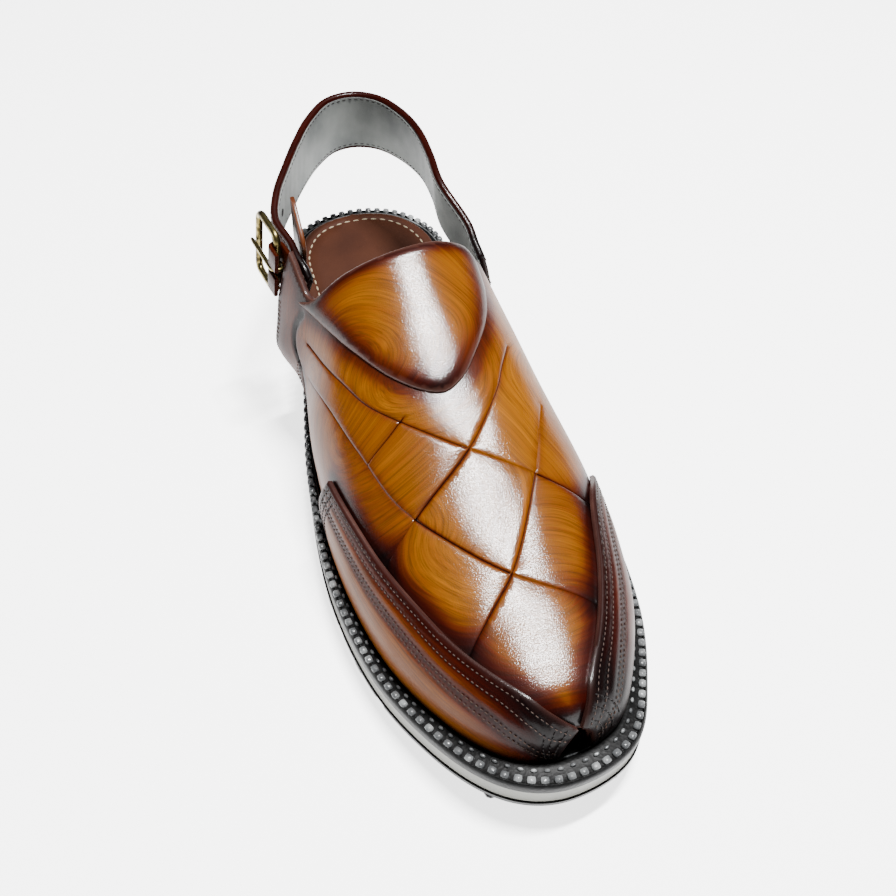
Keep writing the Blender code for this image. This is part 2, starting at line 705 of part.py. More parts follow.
def strap_edges():
    """Lower and upper edge of the heel strap, from its sewn end round the heel to its tail."""
    low, high = [], []

    def add(middle, upwards, width):
        low.append(middle - upwards * width * STRAP_WIDTH / 2)
        high.append(middle + upwards * width * STRAP_WIDTH / 2)

    for turn, around, width in STRAP_LANDING:
        point, heelwards, upwards, outwards = last_frame(turn, around)
        add(point + outwards * (LEATHER + GAP + STRAP_THICK / 2), upwards, width)
    path = np.array([(x * BALL_WIDTH, y * SOLE_LENGTH, STRAP_MIDDLE + rise * STRAP_WIDTH)
                     for x, y, rise, lean, width in STRAP_PATH])
    runs = np.gradient(path, axis=0)
    for middle, run, (x, y, rise, lean, width) in zip(path, runs, STRAP_PATH):
        outwards = np.array([run[1], -run[0], 0.0]) / math.hypot(run[0], run[1])
        upwards = np.array([0.0, 0.0, 1.0]) + lean * outwards
        add(middle, upwards / np.linalg.norm(upwards), width)
    for turn, around, width in STRAP_TAIL:
        point, heelwards, upwards, outwards = last_frame(turn, around)
        add(point - outwards * (TAIL_CLEAR + STRAP_THICK / 2), upwards, width)
    return np.array(low), np.array(high)


def make_heel_strap(material):
    low, high = strap_edges()
    both = smooth_curve(np.hstack([low, high]), samples=3)
    low, high = both[:, :3], both[:, 3:]
    middle = (low + high) / 2
    runs = np.gradient(middle, axis=0)
    bevel = STRAP_THICK * 0.28
    half = STRAP_THICK / 2
    rings = []
    for m, run, across in zip(middle, runs, high - low):
        width = np.linalg.norm(across) / 2
        across = across / np.linalg.norm(across)
        face = np.cross(run, across)
        face /= np.linalg.norm(face)
        section = [(-width, -half + bevel), (-width + bevel, -half), (width - bevel, -half),
                   (width, -half + bevel), (width, half - bevel), (width - bevel, half),
                   (-width + bevel, half), (-width, half - bevel)]
        rings.append([m + across * a + face * b for a, b in section])
    return ring_loft("heel_strap", rings, material, caps=True)


def buckle_axes():
    """Middle of the buckle's front bar, and its directions: along the strap, up, outwards."""
    turn, around = LATERAL_STRAP_END[0][0], (LATERAL_STRAP_END[0][1] + LATERAL_STRAP_END[1][1]) / 2
    point, heelwards, upwards, outwards = last_frame(turn, around)
    bar = point + heelwards * BAR_BEHIND + outwards * BAR_OUT
    along = np.array([-BUCKLE_TURN, 1.0, BUCKLE_RISE])
    along /= np.linalg.norm(along)
    out = np.cross([BUCKLE_LEAN, 0.0, 1.0], along)
    out /= np.linalg.norm(out)
    return bar, along, np.cross(along, out), out


def rod_rings(path, radius, plane_normal, closed, sides=8):
    """Round sections along a flat path."""
    path = np.array(path)
    if closed:
        runs = np.roll(path, -1, axis=0) - np.roll(path, 1, axis=0)
    else:
        runs = np.gradient(path, axis=0)
    rings = []
    for point, run in zip(path, runs):
        beside = np.cross(plane_normal, run / np.linalg.norm(run))
        angles = [2 * math.pi * k / sides for k in range(sides)]
        rings.append([point + radius * (math.cos(a) * beside + math.sin(a) * plane_normal) for a in angles])
    return rings


def make_buckle_frame(material):
    bar, along, up, out = buckle_axes()
    corners = [(0, -1), (1, -1), (1, 1), (0, 1)]
    path = []
    for number, (end, level) in enumerate(corners):
        centre_along = FRAME_CORNER if end == 0 else FRAME_LENGTH - FRAME_CORNER
        centre_up = level * (FRAME_HEIGHT / 2 - FRAME_CORNER)
        start = math.pi + number * math.pi / 2
        for k in range(5):
            a = start + k * math.pi / 8
            path.append(bar + along * (centre_along + FRAME_CORNER * math.cos(a))
                        + up * (centre_up + FRAME_CORNER * math.sin(a)))
    return ring_loft("buckle_frame", rod_rings(path, ROD_RADIUS, out, True), material, closed=True)


def make_buckle_prong(material):
    """Hook round the front bar, then straight over the strap to the rear bar."""
    bar, along, up, out = buckle_axes()
    hook = ROD_RADIUS + GAP + PRONG_RADIUS
    path = []
    for k in range(7):
        a = math.radians(-60 - 35 * k)
        path.append(bar + hook * (along * math.cos(a) + out * math.sin(a)))
    for share in (0.30, 0.62, 0.92, 1.08):
        lift = hook if share > 0.5 else hook * 0.98
        path.append(bar + along * FRAME_LENGTH * share + out * lift)
    return ring_loft("buckle_prong", rod_rings(path, PRONG_RADIUS, up, False), material, caps=True)


def make_buckle_fold(material):
    """Strap's end folded round the front bar. It meets the upper's strap edge to edge."""
    bar, along, up, out = buckle_axes()
    bend = ROD_RADIUS + GAP + FOLD_THICK / 2
    turns = np.linspace(math.pi / 2, -math.pi / 2, 9)
    line = [(bend * math.cos(t), bend * math.sin(t)) for t in turns]
    line = np.array([(-FOLD_LEG, bend)] + line + [(-FOLD_LEG, -bend)])
    runs = np.gradient(line, axis=0)
    runs /= np.linalg.norm(runs, axis=1, keepdims=True)
    half = FOLD_HEIGHT / 2
    rings = []
    for (a, o), (ra, ro) in zip(line, runs):
        side = np.array([-ro, ra]) * FOLD_THICK / 2
        section = [(a + side[0], o + side[1], -half), (a + side[0], o + side[1], half),
                   (a - side[0], o - side[1], half), (a - side[0], o - side[1], -half)]
        rings.append([bar + along * x + out * y + up * z for x, y, z in section])
    fold = ring_loft("buckle_fold", rings, material, caps=True)
    return cut_slot(fold, bar, along, up, out)


def cut_slot(fold, bar, along, up, out):
    """Opens the fold where the prong's hook goes round the bar."""
    reach = ROD_RADIUS + 2 * GAP + 2 * PRONG_RADIUS + GAP
    half = PRONG_RADIUS + 2 * GAP
    mesh = bmesh.new()
    corners = [(a, b, c) for a in (-reach, 2 * reach) for b in (-2 * reach, 2 * reach) for c in (-half, half)]
    made = [mesh.verts.new(bar + along * a + out * b + up * c) for a, b, c in corners]
    for face in ((0, 1, 3, 2), (4, 6, 7, 5), (0, 4, 5, 1), (2, 3, 7, 6), (0, 2, 6, 4), (1, 5, 7, 3)):
        mesh.faces.new([made[k] for k in face])
    cutter = add_object("slot_cutter", mesh, fold.data.materials[0])
    cut = fold.modifiers.new("slot", "BOOLEAN")
    cut.operation = "DIFFERENCE"
    cut.solver = "EXACT"
    cut.object = cutter
    bpy.context.view_layer.update()
    shape = bpy.data.meshes.new_from_object(fold.evaluated_get(bpy.context.evaluated_depsgraph_get()))
    fold.modifiers.clear()
    fold.data = shape
    shape.name = fold.name
    bpy.data.objects.remove(cutter, do_unlink=True)
    return fold


def centre_on_origin(pieces):
    """Moves all pieces so that the middle of their common box's bottom is the origin."""
    corners = np.array([v.co[:] for piece in pieces for v in piece.data.vertices])
    low, high = corners.min(axis=0), corners.max(axis=0)
    shift = Vector((-(low[0] + high[0]) / 2, -(low[1] + high[1]) / 2, -low[2]))
    for piece in pieces:
        for vertex in piece.data.vertices:
            vertex.co += shift


for old in list(bpy.data.objects):
    bpy.data.objects.remove(old, do_unlink=True)

black_rubber = plain_material("black_rubber", (0.012, 0.012, 0.013), 0.55)
pale_rubber = plain_material("pale_rubber", (0.44, 0.43, 0.37), 0.60)
welt_rubber = plain_material("welt_rubber", (0.015, 0.014, 0.015), 0.50)
brown_leather = plain_material("brown_leather", (0.14, 0.055, 0.025), 0.55)
oxblood_leather = plain_material("oxblood_leather", (0.16, 0.006, 0.004), 0.35)
tan_leather = plain_material("tan_leather", (0.34, 0.10, 0.02), 0.50)
antique_brass = plain_material("antique_brass", (0.22, 0.13, 0.05), 0.38, 1.0)

centre_on_origin([
    make_outsole(black_rubber),
    make_midsole(pale_rubber),
    make_welt(welt_rubber),
    make_insole(brown_leather),
    make_upper(oxblood_leather),
    make_instep_panel(oxblood_leather),
    make_rand("rand_lateral", RAND_LATERAL, RAND_LATERAL_TOE, RAND_LATERAL_END, 0.0, oxblood_leather),
    make_rand("rand_medial", RAND_MEDIAL, RAND_MEDIAL_TOE, RAND_MEDIAL_END, 1.0, oxblood_leather),
    make_heel_strap(oxblood_leather),
    make_guard(tan_leather),
    make_buckle_frame(antique_brass),
    make_buckle_prong(antique_brass),
    make_buckle_fold(oxblood_leather),
])
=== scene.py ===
import math

import bmesh
import bpy
import numpy as np
from mathutils import Matrix, Vector
from mathutils.geometry import delaunay_2d_cdt


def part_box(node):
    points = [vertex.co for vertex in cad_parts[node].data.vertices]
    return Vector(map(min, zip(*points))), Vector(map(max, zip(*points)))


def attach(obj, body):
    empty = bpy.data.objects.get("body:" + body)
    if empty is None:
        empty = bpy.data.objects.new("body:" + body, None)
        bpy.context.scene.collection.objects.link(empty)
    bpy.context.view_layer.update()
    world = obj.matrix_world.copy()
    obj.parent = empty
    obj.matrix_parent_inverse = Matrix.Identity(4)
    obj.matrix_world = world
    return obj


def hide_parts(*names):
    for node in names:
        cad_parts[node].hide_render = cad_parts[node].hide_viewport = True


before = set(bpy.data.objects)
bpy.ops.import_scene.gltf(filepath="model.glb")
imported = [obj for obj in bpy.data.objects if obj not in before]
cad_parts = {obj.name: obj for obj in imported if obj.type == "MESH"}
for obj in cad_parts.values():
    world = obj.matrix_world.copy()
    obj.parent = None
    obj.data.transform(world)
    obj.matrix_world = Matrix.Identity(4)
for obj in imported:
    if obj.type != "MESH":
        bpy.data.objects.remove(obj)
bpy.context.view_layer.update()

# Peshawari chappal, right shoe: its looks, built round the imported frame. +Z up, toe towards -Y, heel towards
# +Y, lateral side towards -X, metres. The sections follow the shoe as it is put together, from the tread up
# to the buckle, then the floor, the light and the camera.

# Outsole
# Black rubber moulded in one piece, cemented under the midsole. The heel's end is pebbled, blocks of fine
# ribs stand between smooth grooves, the arch carries a blank eight-sided frame, the toe a field of studs.

SOLE_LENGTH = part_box("outsole")[1].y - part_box("outsole")[0].y
MIDDLE_X = 0.0013
BALL_WIDTH = 0.110
HEEL_TOP = 0.030
FOREFOOT_TOP = 0.016
TOE_SPRING = 0.0085
WAIST_LIFT = 0.0095
OUTSOLE_THICK = 0.0045
GAP = 0.0003
STATIONS = 121

# Half widths seen from above as shares of BALL_WIDTH, against the turn from heel (0) to toe (1), and inset of
# the last's bottom edge as a share of TOE_INSET
#    turn  lateral medial  inset
OUTLINE = [
    (0.0, 0.000, 0.000, 0.34),
    (0.1, 0.212, 0.204, 0.34),
    (0.2, 0.328, 0.323, 0.34),
    (0.3, 0.347, 0.327, 0.36),
    (0.4, 0.405, 0.331, 0.42),
    (0.5, 0.482, 0.396, 0.52),
    (0.6, 0.508, 0.482, 0.70),
    (0.7, 0.456, 0.457, 0.79),
    (0.8, 0.334, 0.354, 0.87),
    (0.9, 0.184, 0.227, 0.97),
    (1.0, 0.000, 0.000, 1.00),
]

# Side profile: shares of the heel's extra height, of WAIST_LIFT and of TOE_SPRING
#    along  heel  waist spring
PROFILE = [
    (0.000, 1.00, 0.00, 0.00),
    (0.140, 0.98, 0.00, 0.00),
    (0.262, 0.86, 0.00, 0.00),
    (0.330, 0.73, 1.00, 0.00),
    (0.420, 0.47, 0.92, 0.00),
    (0.500, 0.24, 0.12, 0.00),
    (0.540, 0.15, 0.00, 0.00),
    (0.620, 0.04, 0.00, 0.00),
    (0.700, 0.00, 0.00, 0.00),
    (0.800, 0.00, 0.00, 0.10),
    (0.900, 0.00, 0.00, 0.46),
    (1.000, 0.00, 0.00, 1.00),
]

# Tread from heel to toe: where a zone starts, how deep its ground lies above the lowest level, its kind
TREAD = [
    (0.000, 0.0007, "pebbles"),
    (0.112, 0.0022, "groove"),
    (0.126, 0.0011, "ribs"),
    (0.192, 0.0022, "groove"),
    (0.210, 0.0011, "ribs"),
    (0.262, 0.0000, "smooth"),
    (0.490, 0.0011, "ribs"),
    (0.512, 0.0022, "groove"),
    (0.530, 0.0011, "ribs"),
    (0.598, 0.0022, "groove"),
    (0.616, 0.0011, "ribs"),
    (0.695, 0.0022, "groove"),
    (0.713, 0.0011, "ribs"),
    (0.806, 0.0022, "groove"),
    (0.822, 0.0010, "studs"),
    (1.000, 0.0010, "end"),
]
# Edge of the tread from its top inwards: inset and height above the zone's ground
TREAD_EDGE = [(0.0, 0.0020), (0.0004, 0.0009), (0.0013, 0.0003), (0.0026, 0.0)]
TREAD_DRAFT = 0.0007
RIB_WIDTH = 0.0017
RIB_INSET = 0.0014
WIDE_ZONE = 0.04
RIB_SHARES = (0.06, 0.155, 0.25, 0.345, 0.655, 0.75, 0.845, 0.94)
NARROW_ZONE_SHARES = (0.15, 0.42, 0.69)
WIDE_RIB = (0.42, 0.58)
STUD_PITCH, STUD_ACROSS, STUD_TALL, STUD_MARGIN = 0.0062, 0.0046, 0.0026, 0.0036
PEBBLE_PITCH, PEBBLE_ACROSS, PEBBLE_TALL, PEBBLE_MARGIN = 0.0042, 0.0030, 0.0018, 0.0030
FRAME_LENGTH, FRAME_WIDTH, FRAME_ALONG, FRAME_CUT = 0.032, 0.019, 0.385, 0.005
FRAME_PLACE, FRAME_RIM = (MIDDLE_X - 0.004, 0.0), 0.0011
RING_PLACE, RING_RADIUS, RING_RIM = (MIDDLE_X + 0.026, -0.004), 0.0045, 0.0006
RIM_FOOT, RIM_CREST = 0.0012, -0.0006


def column(rows, number, x):
    """Smooth curve through one column of a table, against its first column."""
    places = np.array([row[0] for row in rows])
    values = np.array([row[number] for row in rows])
    slopes = np.gradient(values, places)
    x = np.clip(np.asarray(x, float), places[0], places[-1])
    left = np.clip(np.searchsorted(places, x, side="right") - 1, 0, len(places) - 2)
    span = places[left + 1] - places[left]
    u = (x - places[left]) / span
    start = (2 * u ** 3 - 3 * u ** 2 + 1) * values[left] + (u ** 3 - 2 * u ** 2 + u) * span * slopes[left]
    end = (3 * u ** 2 - 2 * u ** 3) * values[left + 1] + (u ** 3 - u ** 2) * span * slopes[left + 1]
    return start + end


def along_of(turn):
    return (1 - np.cos(np.pi * np.asarray(turn, float))) / 2


def turn_of(along):
    return np.arccos(np.clip(1 - 2 * np.asarray(along, float), -1, 1)) / np.pi


def seat_at(y):
    """Height of the sole's top, where the foot's seat begins."""
    along = 0.5 - np.asarray(y, float) / SOLE_LENGTH
    spring = np.maximum(column(PROFILE, 3, along), 0)
    return FOREFOOT_TOP + (HEEL_TOP - FOREFOOT_TOP) * column(PROFILE, 1, along) + TOE_SPRING * spring


def ground_at(y):
    """Height of the tread's lowest level."""
    along = 0.5 - np.asarray(y, float) / SOLE_LENGTH
    waist = np.interp(along, [row[0] for row in PROFILE], [row[2] for row in PROFILE])
    return WAIST_LIFT * waist + TOE_SPRING * np.maximum(column(PROFILE, 3, along), 0)


def outline_raw(turn, side):
    turn = np.asarray(turn, float)
    folded = np.where(turn < 0, -turn, np.where(turn > 1, 2 - turn, turn))
    sign = np.where((turn < 0) | (turn > 1), -1.0, 1.0)
    width = column(OUTLINE, 1 if side < 0 else 2, folded) * BALL_WIDTH
    return np.stack([MIDDLE_X + side * sign * width, SOLE_LENGTH * (0.5 - along_of(turn))], axis=-1)


def outline(turn, side, inset=0.0):
    """Point of the sole's outline seen from above, moved inwards along its normal."""
    step = 1e-4
    turn = np.asarray(turn, float)
    run = outline_raw(turn + step, side) - outline_raw(turn - step, side)
    run = run / np.linalg.norm(run, axis=-1, keepdims=True)
    inwards = np.stack([run[..., 1], -run[..., 0]], axis=-1) * side
    return outline_raw(turn, side) + inwards * np.broadcast_to(inset, turn.shape)[..., None]


def make_object(name, points, faces, material, indices=None, sharp=40):
    """Object from points and faces, welded, with its faces turned outwards."""
    mesh = bpy.data.meshes.new(name)
    mesh.from_pydata([tuple(p) for p in points], [], [tuple(f) for f in faces])
    if indices is not None:
        mesh.polygons.foreach_set("material_index", indices)
    for each in material if isinstance(material, list) else [material]:
        mesh.materials.append(each)
    mesh.validate()
    made = bpy.data.objects.new(name, mesh)
    bpy.context.scene.collection.objects.link(made)
    work = bmesh.new()
    work.from_mesh(mesh)
    bmesh.ops.recalc_face_normals(work, faces=work.faces)
    work.to_mesh(mesh)
    work.free()
    mesh.shade_smooth()
    mesh.set_sharp_from_angle(angle=math.radians(sharp))
    return made


def loft(name, rings, material, closed=False, caps=False, sharp=40, index_of=None):
    """Joins rings of points, each with as many points, into one closed skin."""
    rings = np.asarray(rings)
    count, around = rings.shape[:2]
    faces, indices = [], []
    for row in range(count if closed else count - 1):
        below = (row + 1) % count
        for k in range(around):
            n = (k + 1) % around
            faces.append((row * around + k, row * around + n, below * around + n, below * around + k))
            indices.append(index_of[k] if index_of else 0)
    if caps:
        faces += [tuple(range(around)), tuple((count - 1) * around + k for k in range(around))]
        indices += [0, 0]
    return make_object(name, rings.reshape(-1, 3), faces, material, indices, sharp)


def put(tree, kind, inputs=(), **settings):
    """Adds a node. inputs are pairs of a socket's name or number with a value or another node's output."""
    node = tree.nodes.new(kind)
    for key, value in settings.items():
        setattr(node, key, value)
    for key, value in inputs:
        if isinstance(value, bpy.types.NodeSocket):
            tree.links.new(value, node.inputs[key])
        else:
            node.inputs[key].default_value = value
    return node


def math_node(tree, operation, first, second=0.0, third=0.0):
    return put(tree, "ShaderNodeMath", [(0, first), (1, second), (2, third)], operation=operation).outputs[0]


def blend_colour(tree, factor, first, second):
    node = put(tree, "ShaderNodeMix", [(0, factor), (6, first), (7, second)], data_type="RGBA")
    return node.outputs[2]


def ramp(tree, factor, stops):
    node = put(tree, "ShaderNodeValToRGB", [(0, factor)])
    while len(node.color_ramp.elements) < len(stops):
        node.color_ramp.elements.new(0.5)
    for element, (place, colour) in zip(node.color_ramp.elements, stops):
        element.position = place
        element.color = (*colour, 1.0)
    return node.outputs[0]


def new_material(name, roughness, specular=0.5, coat=0.0, coat_roughness=0.1, metallic=0.0):
    material = bpy.data.materials.new(name)
    material.use_nodes = True
    tree = material.node_tree
    shader = tree.nodes["Principled BSDF"]
    shader.inputs["Roughness"].default_value = roughness
    shader.inputs["Specular IOR Level"].default_value = specular
    shader.inputs["Coat Weight"].default_value = coat
    shader.inputs["Coat Roughness"].default_value = coat_roughness
    shader.inputs["Metallic"].default_value = metallic
    return material, tree, shader


def new_group(name, inputs, outputs):
    """Empty shader group with named sockets, its input node and its output node."""
    tree = bpy.data.node_groups.new(name, "ShaderNodeTree")
    for label, kind, value in inputs:
        socket = tree.interface.new_socket(label, in_out="INPUT", socket_type=kind)
        if value is not None:
            socket.default_value = value
    for label, kind in outputs:
        tree.interface.new_socket(label, in_out="OUTPUT", socket_type=kind)
    return tree, tree.nodes.new("NodeGroupInput"), tree.nodes.new("NodeGroupOutput")


def make_rubber_skin():
    """Group: moulded rubber's fine pitting, and patches of a second colour: dusting and soiling on most
    rubber, painted highlight on the welt's beads.
    """
    tree, given, result = new_group(
        "rubber_skin", [("Scale", "NodeSocketFloat", 900.0)],
        [("Height", "NodeSocketFloat"), ("Dust_and_sheen", "NodeSocketFloat")])
    place = put(tree, "ShaderNodeTexCoord").outputs["Object"]
    pits = put(tree, "ShaderNodeTexVoronoi", [("Vector", place), ("Scale", given.outputs["Scale"])])
    fine = put(tree, "ShaderNodeTexNoise", [("Vector", place), ("Scale", 2600.0), ("Detail", 3.0)])
    wide = put(tree, "ShaderNodeTexNoise", [("Vector", place), ("Scale", 95.0), ("Detail", 5.0)])
    height = math_node(tree, "MULTIPLY_ADD", fine.outputs[0], 0.6, pits.outputs[0])
    tree.links.new(height, result.inputs["Height"])
    dust_and_sheen = put(tree, "ShaderNodeMapRange", [("Value", wide.outputs[0]), ("From Min", 0.48),
                                            ("From Max", 0.78)])
    tree.links.new(dust_and_sheen.outputs[0], result.inputs["Dust_and_sheen"])
    return tree


rubber_skin = make_rubber_skin()


def rubber(name, colour, dust_and_sheen_colour, roughness, dust_and_sheen, depth=0.00012, scale=900.0, specular=0.25):
    material, tree, shader = new_material(name, roughness, specular)
    skin = put(tree, "ShaderNodeGroup", node_tree=rubber_skin)
    skin.inputs["Scale"].default_value = scale
    # A second colour in patches: soiling on the tread, the black welt and the sidewall, painted highlight on
    # the welt's beads
    share = math_node(tree, "MULTIPLY", skin.outputs["Dust_and_sheen"], dust_and_sheen)
    tree.links.new(blend_colour(tree, share, (*colour, 1), (*dust_and_sheen_colour, 1)), shader.inputs["Base Color"])
    bump = put(tree, "ShaderNodeBump", [("Distance", depth), ("Height", skin.outputs["Height"])])
    tree.links.new(bump.outputs[0], shader.inputs["Normal"])
    return material


def repeat_tree(name, on_path, build_piece):
    """Geometry Nodes: sets a piece on each point, or at even steps along a path, with Z along the attribute
    rise and X along the path or the attribute run. The attribute size stretches it."""
    tree = bpy.data.node_groups.new(name, "GeometryNodeTree")
    sockets = [("Geometry", "NodeSocketGeometry", None), ("Pitch", "NodeSocketFloat", 0.004),
               ("Size", "NodeSocketVector", (1, 1, 1)), ("Finish", "NodeSocketMaterial", None)]
    for label, kind, value in sockets:
        socket = tree.interface.new_socket(label, in_out="INPUT", socket_type=kind)
        if value is not None:
            socket.default_value = value
    tree.interface.new_socket("Geometry", in_out="OUTPUT", socket_type="NodeSocketGeometry")
    given, result = tree.nodes.new("NodeGroupInput"), tree.nodes.new("NodeGroupOutput")

    def attribute(label):
        return put(tree, "GeometryNodeInputNamedAttribute", [("Name", label)],
                   data_type="FLOAT_VECTOR").outputs["Attribute"]

    if on_path:
        curve = put(tree, "GeometryNodeMeshToCurve", [("Mesh", given.outputs["Geometry"])])
        spread = put(tree, "GeometryNodeCurveToPoints", [("Curve", curve.outputs[0]),
                                                         ("Length", given.outputs["Pitch"])], mode="LENGTH")
        points, run = spread.outputs["Points"], spread.outputs["Tangent"]
    else:
        points, run = given.outputs["Geometry"], attribute("run")
    level = put(tree, "FunctionNodeAlignRotationToVector", [("Vector", run)], axis="X")
    upright = put(tree, "FunctionNodeAlignRotationToVector",
                  [("Rotation", level.outputs[0]), ("Vector", attribute("rise"))], axis="Z", pivot_axis="X")
    stretch = put(tree, "ShaderNodeVectorMath", [(0, given.outputs["Size"]), (1, attribute("size"))],
                  operation="MULTIPLY")
    placed = put(tree, "GeometryNodeInstanceOnPoints",
                 [("Points", points), ("Instance", build_piece(tree)), ("Rotation", upright.outputs[0]),
                  ("Scale", stretch.outputs[0])])
    real = put(tree, "GeometryNodeRealizeInstances", [("Geometry", placed.outputs[0])])
    smooth = put(tree, "GeometryNodeSetShadeSmooth", [("Geometry", real.outputs[0])])
    dressed = put(tree, "GeometryNodeSetMaterial", [("Geometry", smooth.outputs[0]),
                                                    ("Material", given.outputs["Finish"])])
    tree.links.new(dressed.outputs[0], result.inputs[0])
    return tree


def ball_piece(segments, rings):
    def build(tree):
        return put(tree, "GeometryNodeMeshUVSphere",
                   [("Segments", segments), ("Rings", rings), ("Radius", 0.5)]).outputs[0]
    return build


def block_piece(tree):
    """Block with soft edges, one unit each way."""
    block = put(tree, "GeometryNodeMeshCube", [("Size", (1, 1, 1))])
    return put(tree, "GeometryNodeSubdivisionSurface", [("Mesh", block.outputs[0]), ("Level", 1),
                                                        ("Edge Crease", 0.5)]).outputs[0]


def bar_piece(tree):
    """Round bar of unit length and width along X."""
    bar = put(tree, "GeometryNodeMeshCylinder", [("Vertices", 10), ("Radius", 0.5), ("Depth", 1.0)])
    return put(tree, "GeometryNodeTransform", [("Geometry", bar.outputs[0]),
                                               ("Rotation", (0, math.pi / 2, 0))]).outputs[0]


stud_set = repeat_tree("studs_on_points", False, ball_piece(10, 6))
rib_set = repeat_tree("ribs_on_points", False, bar_piece)
row_set = repeat_tree("row_on_path", True, ball_piece(8, 4))
bead_set = repeat_tree("beads_on_path", True, block_piece)


def repeat(name, tree, points, rise, material, pitch=0.004, size=(1, 1, 1), run=(1, 0, 0), sizes=(1, 1, 1),
           path=None):
    """Plain mesh of a repeating tree run on points, or along the open or closed path through them."""
    points = np.asarray(points, float)
    count = len(points)
    steps = {None: 0, "open": count - 1, "closed": count}[path]
    mesh = bpy.data.meshes.new(name)
    mesh.from_pydata([tuple(p) for p in points], [(k, (k + 1) % count) for k in range(steps)], [])
    for label, values in (("rise", rise), ("run", run), ("size", sizes)):
        layer = mesh.attributes.new(label, "FLOAT_VECTOR", "POINT")
        layer.data.foreach_set("vector", np.broadcast_to(values, points.shape).astype(np.float32).ravel())
    source = bpy.data.objects.new(name, mesh)
    bpy.context.scene.collection.objects.link(source)
    modifier = source.modifiers.new("repeat", "NODES")
    modifier.node_group = tree
    sockets = {item.name: item.identifier for item in tree.interface.items_tree if item.in_out == "INPUT"}
    modifier[sockets["Pitch"]] = pitch
    modifier[sockets["Size"]] = size
    modifier[sockets["Finish"]] = material
    bpy.context.view_layer.update()
    shape = bpy.data.meshes.new_from_object(source.evaluated_get(bpy.context.evaluated_depsgraph_get()))
    source.modifiers.clear()
    source.data = shape
    shape.name = name
    if not shape.materials:
        shape.materials.append(material)
    return source


def join(name, pieces):
    """Joins pieces into the first one, keeping every material."""
    with bpy.context.temp_override(active_object=pieces[0], selected_editable_objects=pieces,
                                   object=pieces[0], selected_objects=pieces):
        bpy.ops.object.join()
    pieces[0].name = name
    pieces[0].data.name = name
    return pieces[0]


def finish_piece(piece, nodes):
    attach(piece, "root")
    if nodes:
        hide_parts(*nodes)
    return piece


def tread_depth(along):
    starts = [zone[0] for zone in TREAD]
    return TREAD[min(np.searchsorted(starts, along, side="right") - 1, len(TREAD) - 1)][1]


def across_sole(turn, section, level_at, highest=math.inf):
    """Ring across the sole from a section's insets and heights: in from one edge, out to the other."""
    ring = []
    for side in (-1, 1):
        edge = []
        for inset, height in section:
            x, y = outline(turn, side, inset)
            edge.append((x, y, float(level_at(y)) + min(height, highest)))
        ring += edge if side < 0 else edge[::-1]
    return ring


def make_tread_body(material):
    draft = TREAD_DRAFT / SOLE_LENGTH
    places = list(along_of(np.linspace(0, 1, STATIONS)))
    for start, _, _ in TREAD[1:-1]:
        places += [start - draft / 2, start + draft / 2]
    for (start, _, kind), (end, _, _) in zip(TREAD, TREAD[1:]):
        if kind == "ribs" and end - start > WIDE_ZONE:
            for share in WIDE_RIB:
                edge = start + (end - start) * share
                places += [edge - draft / 3, edge + draft / 3]
    places = np.array(sorted(places))
    places = places[np.concatenate([[True], np.diff(places) > 1e-5])]
    rings = []
    for place in places:
        depth = tread_depth(place)
        for (start, _, kind), (end, _, _) in zip(TREAD, TREAD[1:]):
            share = (place - start) / (end - start)
            if kind == "ribs" and end - start > WIDE_ZONE and WIDE_RIB[0] < share < WIDE_RIB[1]:
                depth = 0.0
        turn = float(turn_of(place))
        section = [(0.0, OUTSOLE_THICK)] + [(inset, height + depth) for inset, height in TREAD_EDGE]
        rings.append(across_sole(turn, section, ground_at, OUTSOLE_THICK))
    return loft("outsole", rings, material, sharp=32)


END_SLACK = 0.02


def hexagon_points(first, last, pitch, margin):
    """Staggered points under the sole between two shares of its length, clear of its edge."""
    found = []
    rows = np.arange(first * SOLE_LENGTH + pitch * 0.5, last * SOLE_LENGTH - pitch * 0.35, pitch * 0.87)
    for number, run in enumerate(rows):
        turn = float(turn_of(run / SOLE_LENGTH))
        left, right = outline(turn, -1, margin), outline(turn, 1, margin)
        xs = np.arange(-0.5, 0.5, pitch / BALL_WIDTH) * BALL_WIDTH + (number % 2) * pitch / 2
        y = SOLE_LENGTH / 2 - run
        near = abs(left[1] - y) < END_SLACK
        found += [(x, y, float(ground_at(y))) for x in xs if near and left[0] < x < right[0]]
    return np.array(found)


def make_outsole():
    black = rubber("black_rubber_tread", (0.0035, 0.0037, 0.0042), (0.030, 0.032, 0.032), roughness=0.40,
                   dust_and_sheen=0.30)
    body = make_tread_body(black)
    studs = hexagon_points(TREAD[-2][0], 1.0, STUD_PITCH, STUD_MARGIN)
    pebbles = hexagon_points(0.0, TREAD[1][0], PEBBLE_PITCH, PEBBLE_MARGIN)
    ribs, lengths = [], []
    for (start, _, kind), (end, _, _) in zip(TREAD, TREAD[1:]):
        shares = RIB_SHARES if end - start > WIDE_ZONE else NARROW_ZONE_SHARES
        for share in shares if kind == "ribs" else ():
            turn = float(turn_of(start + (end - start) * share))
            left, right = outline(turn, -1, RIB_INSET), outline(turn, 1, RIB_INSET)
            y = (left[1] + right[1]) / 2
            ribs.append(((left[0] + right[0]) / 2, y, float(ground_at(y)) + RIB_WIDTH / 2))
            lengths.append((right[0] - left[0], RIB_WIDTH, RIB_WIDTH))
    down = (0, 0, -1)
    parts = [
        body,
        repeat("tread_studs", stud_set, studs + (0, 0, STUD_TALL / 2), down, black,
               size=(STUD_ACROSS, STUD_ACROSS, STUD_TALL)),
        repeat("tread_pebbles", stud_set, pebbles + (0, 0, PEBBLE_TALL / 2), down, black,
               size=(PEBBLE_ACROSS, PEBBLE_ACROSS, PEBBLE_TALL)),
        repeat("tread_ribs", rib_set, ribs, down, black, sizes=lengths),
        make_blank_frame(black),
    ]
    return finish_piece(join("outsole_rubber", parts), ["outsole"])


